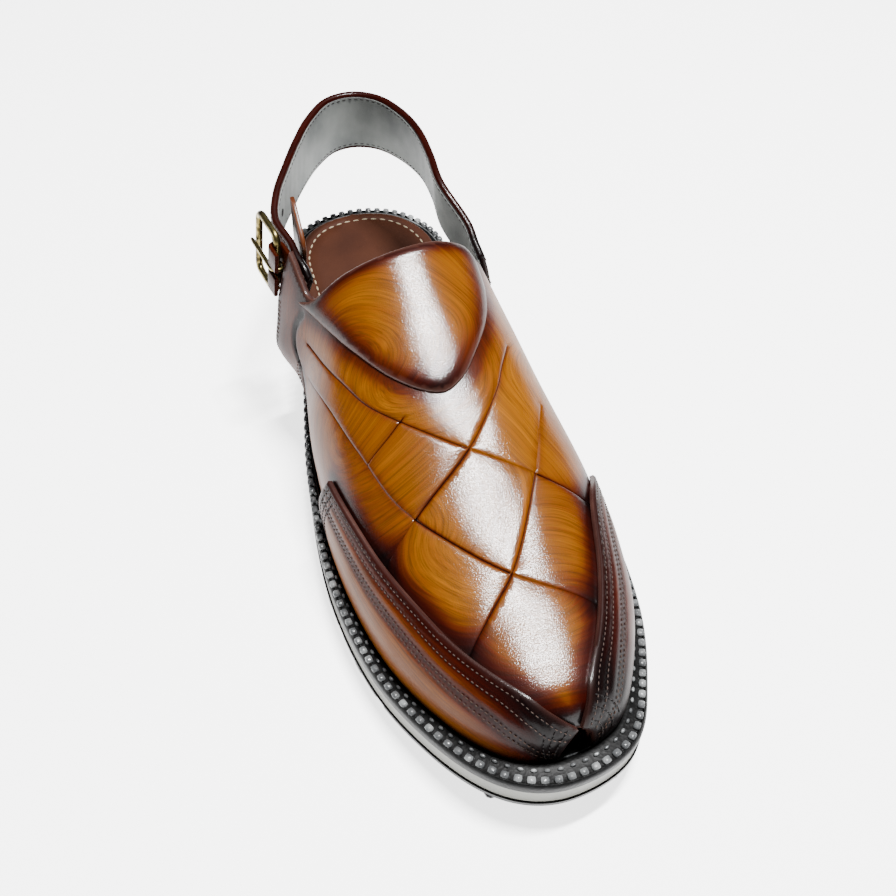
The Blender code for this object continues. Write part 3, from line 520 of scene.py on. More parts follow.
def make_blank_frame(material):
    """Raised eight-sided rim on the arch, with nothing in it, and a plain ring beside it."""
    middle = SOLE_LENGTH * (0.5 - FRAME_ALONG)
    half_long, half_wide, cut = FRAME_LENGTH / 2, FRAME_WIDTH / 2, FRAME_CUT
    corners = [(half_long, half_wide - cut), (half_long - cut, half_wide), (-half_long + cut, half_wide),
               (-half_long, half_wide - cut), (-half_long, -half_wide + cut), (-half_long + cut, -half_wide),
               (half_long - cut, -half_wide), (half_long, -half_wide + cut)]
    ring_line = [(RING_RADIUS * math.cos(a), RING_RADIUS * math.sin(a))
                 for a in np.linspace(0, 2 * math.pi, 25)[:-1]]
    made = []
    for name, line, place, width in (("blank_frame", corners, FRAME_PLACE, FRAME_RIM),
                                     ("plain_ring", ring_line, RING_PLACE, RING_RIM)):
        rings = []
        for x, y in line:
            away = np.array([x, y]) / math.hypot(x, y)
            section = []
            for side, drop in ((-1, RIM_FOOT), (-0.5, RIM_CREST), (0.5, RIM_CREST), (1, RIM_FOOT)):
                px = place[0] + x + away[0] * width * side
                py = middle + place[1] + y + away[1] * width * side
                section.append((px, py, float(ground_at(py)) + drop))
            rings.append(section)
        made.append(loft(name, rings, material, closed=True))
    return join("blank_frame", made)


make_outsole()

# Midsole
# Pale grey rubber foam between tread and welt, its side buffed smooth and left bare. It is cemented to both
# and shows as the cream band all round the shoe.

WELT_THICK = 0.0040
WELT_RING = 0.0170
SIDE_STEP = 0.0006
# Side of the midsole from its top down: inset and share of its height
MIDSOLE_SIDE = [(WELT_RING, 1.0)] + [(SIDE_STEP + hollow, share) for hollow, share in (
    (0.0004, 1.0), (0.0, 0.93), (0.0002, 0.80), (0.0003, 0.50), (0.0002, 0.20), (0.0, 0.07), (0.0004, 0.0))]


def make_midsole():
    pale = rubber("pale_rubber_sidewall", (0.20, 0.20, 0.178), (0.13, 0.13, 0.115), roughness=0.50, dust_and_sheen=0.35,
                  depth=0.00006, scale=500.0)
    rings = []
    for turn in np.linspace(0, 1, STATIONS):
        ring = []
        for side in (-1, 1):
            edge = []
            for inset, share in MIDSOLE_SIDE:
                x, y = outline(turn, side, inset)
                low = float(ground_at(y)) + OUTSOLE_THICK + GAP / 3
                high = float(seat_at(y)) - WELT_THICK - GAP / 3
                edge.append((x, y, low + (high - low) * share))
            ring += edge if side < 0 else edge[::-1]
        rings.append(ring)
    return finish_piece(loft("midsole_rubber", rings, pale, sharp=50), ["midsole"])


make_midsole()

# Welt
# Black rubber rim moulded to look hand sewn: an outer row of square beads and an inner row of short bars
# stand up from a shallow channel, and a thin lip runs along the upper, whose edge is cemented down inside it.
# Beads, bars and lip are grey with paler patches: painted highlight of the lamp on glossy black rubber.

TOE_INSET = 0.0138
LEATHER = 0.0022
OVERLAY = 0.0018
LIFT = 0.0006
BEAD_RAISE = 0.0008
BEAD_PITCH = 0.0043
BEAD_SIZE = (0.0030, 0.0026, 0.0023)
BAR_SIZE = (0.0022, 0.0013, 0.0013)
BEAD_MIDDLE = 0.0006
BEAD_ROW, BAR_ROW = 0.22, 0.60
LIP_RADIUS = 0.0003
LEAST_RIM = 0.0024


def visible_rim(turn):
    """Width of the welt that shows beyond the upper and its rand."""
    return np.maximum(column(OUTLINE, 3, turn) * TOE_INSET - LEATHER - GAP - OVERLAY, LEAST_RIM)


def make_welt():
    black = rubber("welt_rubber_black", (0.0010, 0.0010, 0.0010), (0.005, 0.005, 0.005), roughness=0.45,
                   dust_and_sheen=0.30, depth=0.00008, scale=700.0, specular=0.10)
    # Grey with paler patches: painted highlight of the lamp on glossy black rubber, for the beads, bars and
    # lip
    bead_painted_highlight = rubber("welt_bead_painted_highlight", (0.060, 0.062, 0.064), (0.30, 0.31, 0.31), roughness=0.25,
                       dust_and_sheen=1.0, depth=0.00012, scale=1300.0, specular=0.5)
    turns = np.linspace(0, 1, STATIONS)
    route = [(t, -1) for t in turns] + [(t, 1) for t in turns[-2:0:-1]]
    rings = []
    for turn, side in route:
        rim = float(visible_rim(turn))
        section = [(0.0003, -WELT_THICK), (0.0, -WELT_THICK + 0.0006), (0.0, -0.0008), (0.0002, 0.0002),
                   (0.0007, BEAD_RAISE), (0.0012, BEAD_RAISE), (0.0016, 0.0003), (rim * 0.66, 0.0003),
                   (rim * 0.72, 0.0006), (rim * 0.92, 0.0006), (rim + 0.0004, 0.0), (WELT_RING, 0.0),
                   (WELT_RING, -WELT_THICK)]
        ring = []
        for inset, level in section:
            x, y = outline(turn, side, inset)
            ring.append((x, y, float(seat_at(y)) + level))
        rings.append(ring)
    parts = [loft("welt", rings, black, closed=True, sharp=35)]
    turns = np.concatenate([np.linspace(0, 1, 2 * STATIONS), np.linspace(1, 0, 2 * STATIONS)[1:-1]])
    sides = np.concatenate([np.full(2 * STATIONS, -1), np.full(2 * STATIONS - 2, 1)])
    for name, tree, share, size in (("welt_beads", bead_set, BEAD_ROW, BEAD_SIZE),
                                    ("welt_bars", row_set, BAR_ROW, BAR_SIZE)):
        inset = visible_rim(turns) * share + 0.0004
        plan = np.where(sides[:, None] < 0, outline(turns, -1, inset), outline(turns, 1, inset))
        middles = np.column_stack([plan, seat_at(plan[:, 1]) + BEAD_MIDDLE])
        parts.append(repeat(name, tree, middles, (0, 0, 1), bead_painted_highlight, pitch=BEAD_PITCH, size=size,
                            path="closed"))
    lip = []
    for turn, side in route:
        inset = float(visible_rim(turn)) + 0.0002
        plan = [(outline(turn, side, inset + LIP_RADIUS * math.cos(a)), LIP_RADIUS * math.sin(a))
                for a in np.radians(range(0, 360, 60))]
        lip.append([(x, y, float(seat_at(y)) + LIP_RADIUS + level) for (x, y), level in plan])
    parts.append(loft("welt_lip", lip, bead_painted_highlight, closed=True))
    return finish_piece(join("welt_rubber", parts), ["welt"])


make_welt()

# Insole
# Brown glove leather over a thin board, laid inside the upper. One row of cream thread runs round it just
# inside its edge, in a shallow channel.

INSOLE_THICK = 0.0026
INSOLE_ROW = 0.0050
ROW_PITCH = 0.0042
CREAM_STITCH = (0.0032, 0.0009, 0.0007)
CHANNEL_LEVEL = 0.97
# Insole from its edge inwards: distance and share of INSOLE_THICK
INSOLE_SECTION = [(0.0, 0.0), (0.0, 0.60), (0.0003, 0.88), (0.0010, 1.0), (0.0044, 1.0), (0.0047, 0.93),
                  (0.0053, 0.93), (0.0056, 1.0), (0.0100, 0.99)]


def make_leather_grain():
    """Group: pebbled grain in two sizes, with the fine wrinkles between the pebbles."""
    tree, given, result = new_group(
        "leather_grain", [("Scale", "NodeSocketFloat", 1500.0)],
        [("Height", "NodeSocketFloat"), ("Soft", "NodeSocketFloat")])
    place = put(tree, "ShaderNodeTexCoord").outputs["Object"]
    warp = put(tree, "ShaderNodeTexNoise", [("Vector", place), ("Scale", 420.0), ("Detail", 2.0)])
    bent = put(tree, "ShaderNodeVectorMath", [(0, warp.outputs[1]), (3, 0.0012)], operation="SCALE")
    moved = put(tree, "ShaderNodeVectorMath", [(0, place), (1, bent.outputs[0])], operation="ADD")
    pebble = put(tree, "ShaderNodeTexVoronoi",
                 [("Vector", moved.outputs[0]), ("Scale", given.outputs["Scale"])], feature="SMOOTH_F1")
    fine = put(tree, "ShaderNodeTexNoise", [("Vector", place), ("Scale", 3400.0), ("Detail", 4.0)])
    soft = put(tree, "ShaderNodeTexNoise", [("Vector", place), ("Scale", 60.0), ("Detail", 3.0)])
    lifted = math_node(tree, "MULTIPLY_ADD", pebble.outputs[0], -0.9, 1.0)
    tree.links.new(math_node(tree, "MULTIPLY_ADD", fine.outputs[0], 0.5, lifted), result.inputs["Height"])
    tree.links.new(soft.outputs[0], result.inputs["Soft"])
    return tree


leather_grain = make_leather_grain()


def plain_leather(name, colour, second, roughness, coat=0.0, depth=0.00005, scale=1500.0):
    """Leather of one colour with soft clouds of a second one."""
    material, tree, shader = new_material(name, roughness, specular=0.12, coat=coat, coat_roughness=0.22)
    grain = put(tree, "ShaderNodeGroup", [("Scale", scale)], node_tree=leather_grain)
    cloud = put(tree, "ShaderNodeMapRange", [("Value", grain.outputs["Soft"]), ("From Min", 0.35),
                                             ("From Max", 0.68)])
    mottled = blend_colour(tree, cloud.outputs[0], (*colour, 1), (*second, 1))
    tree.links.new(mottled, shader.inputs["Base Color"])
    bump = put(tree, "ShaderNodeBump", [("Distance", depth), ("Height", grain.outputs["Height"])])
    tree.links.new(bump.outputs[0], shader.inputs["Normal"])
    return material


def thread(name, colour):
    """Twisted sewing thread: fine slanting bands of light and shade."""
    material, tree, shader = new_material(name, 0.7, specular=0.25)
    place = put(tree, "ShaderNodeTexCoord").outputs["Object"]
    twist = put(tree, "ShaderNodeTexWave", [("Vector", place), ("Scale", 900.0), ("Distortion", 2.0)],
                bands_direction="DIAGONAL")
    dark = tuple(c * 0.55 for c in colour)
    banded = blend_colour(tree, twist.outputs[1], (*dark, 1), (*colour, 1))
    tree.links.new(banded, shader.inputs["Base Color"])
    return material


cream_thread = thread("cream_thread", (0.30, 0.24, 0.16))
dull_thread = thread("dull_thread", (0.055, 0.034, 0.027))
brown_thread = thread("brown_thread", (0.040, 0.019, 0.012))
dark_thread = thread("dark_thread", (0.006, 0.003, 0.003))


def make_insole():
    leather = plain_leather("insole_leather", (0.033, 0.0098, 0.0040), (0.024, 0.0068, 0.0030),
                            roughness=0.58)
    rings = []
    for turn in np.linspace(0.0, 1.0, STATIONS):
        inset = float(column(OUTLINE, 3, turn)) * TOE_INSET + 2 * GAP
        room = max(float(outline(turn, 1, inset)[0] - outline(turn, -1, inset)[0]) / 2, 0.0) * 0.9
        section = [(inset + min(step, room), GAP + INSOLE_THICK * share) for step, share in INSOLE_SECTION]
        rings.append(across_sole(turn, section, seat_at))
    turns = np.concatenate([np.linspace(0.02, 0.97, STATIONS), np.linspace(0.97, 0.02, STATIONS)])
    sides = np.repeat([-1, 1], STATIONS)
    inset = column(OUTLINE, 3, turns) * TOE_INSET + 2 * GAP + INSOLE_ROW
    plan = np.where(sides[:, None] < 0, outline(turns, -1, inset), outline(turns, 1, inset))
    middles = np.column_stack([plan, seat_at(plan[:, 1]) + GAP + INSOLE_THICK * CHANNEL_LEVEL])
    row = repeat("insole_row", row_set, middles, (0, 0, 1), cream_thread, pitch=ROW_PITCH, size=CREAM_STITCH,
                 path="closed")
    return finish_piece(join("insole_leather", [loft("insole", rings, leather, sharp=60), row]),
                        ["insole"])


make_insole()

# Upper
# Wide strips of vegetable-tanned leather, woven over and under each other and lasted as one wall with the two
# quarters and the buckle strap. Each strip is brushed tan by hand and burnished almost black at its edges.
# The dark lines where the strips meet, and the dark slot between the lateral quarter and the vamp, are painted
# shade.
# A place on the last is (turn, around). around runs from 0 at the lateral bottom edge over the instep to 1 at
# the medial one.

INSTEP_RISE = 0.062
VAMP_STEP = 0.00135

# Cross sections of the last: height as a share of INSTEP_RISE, place of the ridge across the foot, fullness,
# swell of each side as a share of BALL_WIDTH
#    turn  height ridge fullness swell_lateral swell_medial
SECTIONS = [
    (0.30, 1.95, 0.50, 3.00, 0.105, -0.035),
    (0.33, 1.80, 0.50, 3.10, 0.108, -0.035),
    (0.36, 1.56, 0.50, 3.10, 0.110, -0.030),
    (0.39, 1.30, 0.51, 2.55, 0.085, 0.005),
    (0.42, 1.17, 0.52, 2.20, 0.052, 0.042),
    (0.50, 0.98, 0.54, 2.20, 0.036, 0.044),
    (0.58, 0.80, 0.55, 2.25, 0.032, 0.030),
    (0.66, 0.645, 0.56, 2.30, 0.030, 0.026),
    (0.74, 0.52, 0.56, 2.40, 0.028, 0.028),
    (0.82, 0.42, 0.55, 2.50, 0.020, 0.020),
    (0.89, 0.34, 0.53, 2.50, 0.013, 0.013),
    (0.95, 0.22, 0.51, 2.40, 0.006, 0.006),
    (1.00, 0.00, 0.50, 2.30, 0.000, 0.000),
]
TOE_OPENING = [(0.966, 0.00), (0.960, 0.22), (0.952, 0.560), (0.951, 0.80), (0.950, 1.00)]
LATERAL_WINDOW = [(0.500, 0.00), (0.478, 0.085), (0.452, 0.150), (0.432, 0.185), (0.430, 0.130),
                  (0.438, 0.070), (0.442, 0.00)]
LATERAL_QUARTER = [(0.374, 0.00), (0.377, 0.08), (0.380, 0.15), (0.382, 0.21), (0.376, 0.276)]
LATERAL_STRAP_END = [(0.376, 0.276), (0.376, 0.356)]
LATERAL_THROAT = [(0.376, 0.356), (0.386, 0.351), (0.398, 0.343), (0.408, 0.337), (0.417, 0.346),
                  (0.424, 0.400)]
THROAT = [(0.424, 0.400), (0.427, 0.455), (0.426, 0.500), (0.420, 0.568), (0.418, 0.604), (0.412, 0.645),
          (0.396, 0.680)]
MEDIAL_QUARTER = [(0.396, 0.680), (0.378, 0.720), (0.366, 0.780), (0.364, 0.850), (0.370, 0.92),
                  (0.374, 1.00)]
MEDIAL_WINDOW = [(0.442, 1.00), (0.438, 0.930), (0.430, 0.870), (0.432, 0.815), (0.452, 0.850),
                 (0.478, 0.915), (0.500, 1.00)]
WEAVE = [
    [(0.430, 0.268), (0.494, 0.320), (0.531, 0.352), (0.576, 0.445), (0.617, 0.593), (0.636, 0.700),
     (0.650, 0.800)],
    [(0.449, 0.215), (0.494, 0.262), (0.551, 0.281), (0.611, 0.297), (0.669, 0.378), (0.706, 0.468),
     (0.749, 0.650), (0.775, 0.760)],
    [(0.500, 0.632), (0.518, 0.605), (0.545, 0.568), (0.586, 0.480), (0.627, 0.323), (0.655, 0.180)],
    [(0.548, 0.672), (0.580, 0.632), (0.617, 0.593), (0.699, 0.470), (0.735, 0.380), (0.778, 0.250)],
    [(0.548, 0.392), (0.557, 0.350), (0.567, 0.285)],
]
# How deep each of these lines is, and how dark its painted shade, for each stretch between the crossings
WEAVE_DEPTH_AND_SHADE = [(0.7, 0.12, 1.0), (0.35, 1.0, 0.12), (0.55, 1.0, 0.25), (0.15, 0.65, 0.9), (0.7,)]
# Fold between quarter and vamp, from the throat down to the window, darkened with painted shade
SLOT = [(0.411, 0.303), (0.408, 0.262), (0.414, 0.222), (0.431, 0.186)]
RAND_LATERAL = [(0.552, 0.185), (0.605, 0.195), (0.652, 0.205), (0.734, 0.245), (0.780, 0.283),
                (0.845, 0.367), (0.918, 0.453), (0.946, 0.550)]
RAND_MEDIAL = [(0.600, 0.800), (0.634, 0.735), (0.712, 0.688), (0.773, 0.652), (0.856, 0.585),
               (0.918, 0.566), (0.944, 0.572)]
PANEL_REAR = [(0.404, 0.316), (0.417, 0.345), (0.422, 0.400), (0.425, 0.455), (0.424, 0.500),
              (0.418, 0.570), (0.416, 0.598), (0.422, 0.618)]
PANEL_FRONT = [(0.422, 0.618), (0.445, 0.619), (0.462, 0.611), (0.485, 0.592), (0.512, 0.555),
               (0.531, 0.518), (0.539, 0.480), (0.535, 0.450), (0.518, 0.410), (0.485, 0.372),
               (0.451, 0.343), (0.404, 0.316)]


def last_surface(turn, around):
    """Point of the last: a full, rounded section whose widths come from the sole's outline."""
    sides = []
    for side in (-1, 1):
        plan = outline(turn, side, column(OUTLINE, 3, turn) * TOE_INSET)
        sides.append(np.concatenate([plan, seat_at(plan[..., 1])[..., None]], axis=-1))
    height = column(SECTIONS, 1, turn) * INSTEP_RISE + 1e-9
    ridge = column(SECTIONS, 2, turn)[..., None]
    power = column(SECTIONS, 3, turn)
    base = sides[0] + (sides[1] - sides[0]) * ridge
    angle = np.pi * np.asarray(around, float)
    on_lateral = angle < np.pi / 2
    sideways = np.where(on_lateral[..., None], sides[0] - base, sides[1] - base)
    half = np.linalg.norm(sideways, axis=-1) + 1e-9
    swell = np.where(on_lateral, column(SECTIONS, 4, turn), column(SECTIONS, 5, turn)) * BALL_WIDTH
    across, up = np.abs(np.cos(angle)), np.abs(np.sin(angle))
    reach = ((across / half) ** power + (up / height) ** power) ** (-1 / power)
    out = reach * across + 2 * swell * across * up
    rise = (reach * up)[..., None] * np.array([0, 0, 1.0])
    return base + sideways / half[..., None] * out[..., None] + rise


def last_normal(turn, around):
    step = 1e-3
    run = last_surface(turn + step, around) - last_surface(turn - step, around)
    rise = last_surface(turn, np.minimum(around + step, 1)) - last_surface(turn, np.maximum(around - step, 0))
    normal = np.cross(run, rise)
    return normal / (np.linalg.norm(normal, axis=-1, keepdims=True) + 1e-12)


def on_last(turn, around, out):
    """Point at a distance out from the last's surface, never below the sole's top."""
    turn, around = np.asarray(turn, float), np.asarray(around, float)
    point = last_surface(turn, around) + last_normal(turn, around) * np.asarray(out)[..., None]
    point[..., 2] = np.maximum(point[..., 2], seat_at(point[..., 1]) + GAP)
    return point


def flat_scale():
    """Girth of each section and the run along the ridge, which unroll the last to a flat pattern."""
    turns = np.linspace(0.30, 0.993, 138)
    grid_turn, grid_around = np.meshgrid(turns, np.linspace(0, 1, 41), indexing="ij")
    grid = last_surface(grid_turn, grid_around)
    girth = np.linalg.norm(np.diff(grid, axis=1), axis=-1).sum(axis=1)
    steps = np.linalg.norm(np.diff(grid[:, 20], axis=0), axis=1)
    return turns, girth, np.concatenate([[0.0], np.cumsum(steps)])


FLAT_TURN, FLAT_GIRTH, FLAT_RUN = flat_scale()


def flatten(places):
    places = np.asarray(places, float)
    girth = np.interp(places[:, 0], FLAT_TURN, FLAT_GIRTH)
    return np.column_stack([(places[:, 1] - 0.5) * girth, np.interp(places[:, 0], FLAT_TURN, FLAT_RUN)])


def unflatten(flat):
    turn = np.interp(flat[:, 1], FLAT_RUN, FLAT_TURN)
    return turn, np.clip(0.5 + flat[:, 0] / np.interp(turn, FLAT_TURN, FLAT_GIRTH), 0, 1)


def resample(points, step):
    """Points at even steps along a polyline, with both its ends kept."""
    lengths = np.concatenate([[0.0], np.cumsum(np.linalg.norm(np.diff(points, axis=0), axis=1))])
    wanted = np.linspace(0, lengths[-1], max(1, int(round(lengths[-1] / step))) + 1)
    return np.column_stack([np.interp(wanted, lengths, points[:, k]) for k in range(points.shape[1])])


def smooth_curve(corners, samples=12):
    """Curve through corners that keeps its ends."""
    corners = np.asarray(corners, float)
    if len(corners) < 3:
        return corners
    chords = np.linalg.norm(np.diff(corners, axis=0), axis=1)
    knots = np.concatenate([[0.0], np.cumsum(np.sqrt(chords))])
    wanted = np.concatenate([np.linspace(a, b, samples, endpoint=False) for a, b in zip(knots, knots[1:])])
    wanted = np.append(wanted, knots[-1])
    return np.column_stack([column(list(zip(knots, values)), 1, wanted) for values in corners.T])


def pattern_line(corners, step):
    return resample(smooth_curve(flatten(corners)), step)


def bottom_line(first, last, around, step):
    turns = np.linspace(first, last, 90)
    return resample(flatten(np.column_stack([turns, np.full(90, around)])), step)


def beside(points, line):
    """Distance of flat points to a polyline, the side they are on, and how far along it they are."""
    first, run = line[:-1], np.diff(line, axis=0)
    square = (run ** 2).sum(axis=1) + 1e-18
    offset = points[:, None] - first
    share = np.clip((offset * run).sum(axis=-1) / square, 0, 1)
    far = np.linalg.norm(offset - share[..., None] * run, axis=-1)
    rows, k = np.arange(len(points)), far.argmin(axis=1)
    cross = run[k, 0] * offset[rows, k, 1] - run[k, 1] * offset[rows, k, 0]
    lengths = np.concatenate([[0.0], np.cumsum(np.sqrt(square))])
    return far[rows, k], np.where(cross >= 0, 1, -1), lengths[k] + share[rows, k] * np.sqrt(square[k])


def nearest(points, lines):
    return np.min([beside(points, line)[0] for line in lines], axis=0)


def is_inside(points, loop):
    inside = np.zeros(len(points), bool)
    for a, b in zip(loop, np.roll(loop, -1, axis=0)):
        crosses = (a[1] > points[:, 1]) != (b[1] > points[:, 1])
        slope = a[0] + (points[:, 1] - a[1]) * (b[0] - a[0]) / (b[1] - a[1] + 1e-18)
        inside ^= crosses & (points[:, 0] < slope)
    return inside


def side_line(line, offset):
    run = np.gradient(line, axis=0)
    run /= np.linalg.norm(run, axis=1, keepdims=True) + 1e-12
    return line + np.column_stack([-run[:, 1], run[:, 0]]) * offset


def closed(loop):
    return np.concatenate([loop, loop[:1]])


def triangulate(loop, lines, step):
    """Triangles of a pattern inside its loop: an even staggered filling, with the lines kept as edges."""
    low, high = loop.min(axis=0), loop.max(axis=0)
    grid = []
    for number, y in enumerate(np.arange(low[1], high[1], step * 0.87)):
        xs = np.arange(low[0] + (number % 2) * step / 2, high[0], step)
        grid.append(np.column_stack([xs, np.full(len(xs), y)]))
    grid = np.concatenate(grid)
    grid = grid[is_inside(grid, loop)]
    grid = grid[nearest(grid, [closed(loop)] + lines) > 0.5 * step]
    points = list(loop)
    edges = [(k, (k + 1) % len(loop)) for k in range(len(loop))]
    for line in lines:
        start = len(points)
        points.extend(line)
        edges.extend((start + k, start + k + 1) for k in range(len(line) - 1))
    points.extend(grid)
    made = delaunay_2d_cdt([Vector(p) for p in points], edges, [], 1, 1e-6)
    flat = np.array([tuple(v) for v in made[0]])
    faces = np.array([tuple(f) for f in made[2]])
    faces = faces[is_inside(flat[faces].mean(axis=1), loop)]
    used, faces = np.unique(faces, return_inverse=True)
    return flat[used], faces.reshape(-1, 3)


WORN_REACH = 0.0007


def tint(piece, burnish, stroke, worn=None):
    """Stores the burnish, stroke and rubbed edge that brushed leather reads, one value for each point."""
    for label, values in (("burnish", burnish), ("worn", np.zeros(len(burnish)) if worn is None else worn)):
        layer = piece.data.attributes.new(label, "FLOAT", "POINT")
        layer.data.foreach_set("value", values.astype(np.float32))
    layer = piece.data.attributes.new("stroke", "FLOAT_VECTOR", "POINT")
    layer.data.foreach_set("vector", np.asarray(stroke, np.float32).ravel())


def leather_wall(name, loop, lines, outer, inner, materials, paint, step, round_edge=0.0005):
    """A closed wall of leather over part of the last. outer gives its outer face's distance from the last at
    each flat point, paint its burnish and brush strokes. The wall's edge is a cut edge, eased by round_edge.
    """
    rim = closed(loop)
    eased = [resample(side_line(rim, sign * round_edge)[1:-1], step) for sign in (-1, 1)]
    eased = [line for line in eased if is_inside(line, loop).mean() > 0.7]
    flat, faces = triangulate(loop, lines + eased, step)
    turn, around = unflatten(flat)
    from_edge = beside(flat, rim)[0]
    near_edge = 1 - np.clip(from_edge / round_edge, 0, 1)
    ease = round_edge * 0.9 * (1 - np.sqrt(1 - near_edge ** 2))
    top = on_last(turn, around, outer(flat) - ease)
    low = on_last(turn, around, inner(flat) if callable(inner) else np.full(len(flat), inner))
    count = len(flat)
    seen = {}
    for a, b, c in faces:
        for edge in ((a, b), (b, c), (c, a)):
            seen.setdefault((min(edge), max(edge)), []).append(edge)
    band = [edges[0] for edges in seen.values() if len(edges) == 1]
    all_faces = [tuple(f) for f in faces] + [(c + count, b + count, a + count) for a, b, c in faces]
    all_faces += [(b, a, a + count, b + count) for a, b in band]
    indices = [0] * len(faces) + [1] * len(faces) + [2] * len(band)
    piece = make_object(name, np.concatenate([top, low]), all_faces, materials, indices, sharp=60)
    burnish, stroke = paint(flat)
    bare = np.zeros(count)
    worn = np.concatenate([np.exp(-(from_edge / WORN_REACH) ** 2), bare])
    tint(piece, np.concatenate([burnish, bare]), np.concatenate([stroke, stroke]), worn)
    return piece


def make_brushed_colour():
    """Group: hand-brushed stain. Streaks follow the stroke vector, and the stain runs through five colours
    from the bare tan to the burnished black as burnish rises."""
    tree, given, result = new_group(
        "brushed_colour",
        [("Burnish", "NodeSocketFloat", 0.2), ("Stroke", "NodeSocketVector", None),
         ("Streaks", "NodeSocketFloat", 0.22)],
        [("Colour", "NodeSocketColor"), ("Streak", "NodeSocketFloat"), ("Depth", "NodeSocketFloat")])
    stroke = given.outputs["Stroke"]

    def streaks(scale, detail):
        long = put(tree, "ShaderNodeVectorMath", [(0, stroke), (1, scale)], operation="MULTIPLY")
        noise = put(tree, "ShaderNodeTexNoise", [("Vector", long.outputs[0]), ("Scale", 1.0),
                                                 ("Detail", detail), ("Roughness", 0.6), ("Distortion", 0.7)])
        return noise.outputs[0]

    fine = streaks((1900.0, 60.0, 900.0), 3.0)
    broad = streaks((420.0, 32.0, 900.0), 2.0)
    both = math_node(tree, "MULTIPLY_ADD", fine, 0.5, math_node(tree, "MULTIPLY", broad, 0.5))
    swing = math_node(tree, "SUBTRACT", both, 0.5)
    depth = math_node(tree, "ADD", given.outputs["Burnish"],
                      math_node(tree, "MULTIPLY", swing, given.outputs["Streaks"]))
    stained = ramp(tree, depth, [(0.00, (0.150, 0.049, 0.0001)), (0.20, (0.098, 0.0268, 0.0001)),
                                 (0.42, (0.048, 0.0072, 0.0001)), (0.66, (0.018, 0.0012, 0.0001)),
                                 (0.95, (0.0018, 0.0003, 0.0003))])
    shade = put(tree, "ShaderNodeMapRange", [("Value", fine), ("From Min", 0.34), ("From Max", 0.66),
                                             ("To Min", 0.58), ("To Max", 1.42)])
    shaded = put(tree, "ShaderNodeVectorMath", [(0, stained), (3, shade.outputs[0])], operation="SCALE")
    tree.links.new(shaded.outputs[0], result.inputs["Colour"])
    tree.links.new(fine, result.inputs["Streak"])
    tree.links.new(depth, result.inputs["Depth"])
    return tree


brushed_colour = make_brushed_colour()
GLAZE_IOR = 2.2


def brushed_leather(name, streaks=0.7, roughness=0.45, coat=0.11, edge_colour=(0.090, 0.040, 0.030)):
    """Glazed leather with a hand-brushed stain: grain, streaks, and a paler line where an edge is rubbed."""
    material, tree, shader = new_material(name, roughness, specular=0.05, coat=coat, coat_roughness=0.145)
    shader.inputs["Coat IOR"].default_value = GLAZE_IOR
    burnish = put(tree, "ShaderNodeAttribute", attribute_name="burnish")
    stroke = put(tree, "ShaderNodeAttribute", attribute_name="stroke")
    worn = put(tree, "ShaderNodeAttribute", attribute_name="worn")
    stain = put(tree, "ShaderNodeGroup", [("Burnish", burnish.outputs["Fac"]),
                                          ("Stroke", stroke.outputs["Vector"])], node_tree=brushed_colour)
    stain.inputs["Streaks"].default_value = streaks
    rubbed = math_node(tree, "MULTIPLY", worn.outputs["Fac"], 0.55)
    colour = blend_colour(tree, rubbed, stain.outputs["Colour"], (*edge_colour, 1))
    tree.links.new(colour, shader.inputs["Base Color"])
    grain = put(tree, "ShaderNodeGroup", [("Scale", 2400.0)], node_tree=leather_grain)
    height = math_node(tree, "MULTIPLY_ADD", stain.outputs["Streak"], 0.35, grain.outputs["Height"])
    bump = put(tree, "ShaderNodeBump", [("Distance", 0.00004), ("Height", height)])
    tree.links.new(bump.outputs[0], shader.inputs["Normal"])
    tree.links.new(bump.outputs[0], shader.inputs["Coat Normal"])
    gloss = put(tree, "ShaderNodeMapRange", [("Value", grain.outputs["Soft"]), ("From Min", 0.3),
                                             ("From Max", 0.7), ("To Min", roughness - 0.05),
                                             ("To Max", roughness + 0.07)])
    tree.links.new(gloss.outputs[0], shader.inputs["Roughness"])
    return material


vamp_leather = brushed_leather("vamp_leather")
grey_lining = plain_leather("grey_lining", (0.190, 0.200, 0.190), (0.120, 0.128, 0.125), 0.55)
cut_edge = plain_leather("cut_edge", (0.016, 0.0045, 0.0035), (0.040, 0.016, 0.012), roughness=0.45, coat=0.2,
                         depth=0.00010, scale=2500.0)
LEATHER_FINISH = [vamp_leather, grey_lining, cut_edge]


def falloff(distance, reach):
    return np.exp(-(distance / reach) ** 2)


def stain(distance, mark):
    """Stain beside a line, from its strength on the line and its reach."""
    return mark[0] * falloff(distance, mark[1])


def together(marks):
    """Several stains over each other."""
    bare = 1.0
    for mark in marks:
        bare = bare * (1 - np.clip(mark, 0, 1))
    return 1 - bare


STROKE_WAVER = 0.0011
WAVER_WAVES = np.array([90.0, 150.0])


def swirls(flat, cells, reach, start=0.0):
    """Brush strokes for each cell: rings round a centre beyond the cell's own middle, as radius and arc."""
    stroke = np.zeros((len(flat), 3))
    for number, cell in enumerate(np.unique(cells)):
        chosen = cells == cell
        turned = start + 2.4 * number
        centre = flat[chosen].mean(axis=0) + reach * np.array([math.cos(turned), math.sin(turned)])
        away = flat[chosen] - centre
        waver = STROKE_WAVER * np.sin(flat[chosen] @ WAVER_WAVES + number)
        radius = np.linalg.norm(away, axis=1) + waver
        facing = np.arctan2(away[:, 1] * math.cos(turned) - away[:, 0] * math.sin(turned),
                            -away[:, 0] * math.cos(turned) - away[:, 1] * math.sin(turned))
        stroke[chosen] = np.column_stack([radius, facing * reach, np.full(chosen.sum(), 0.013 * number)])
    return stroke


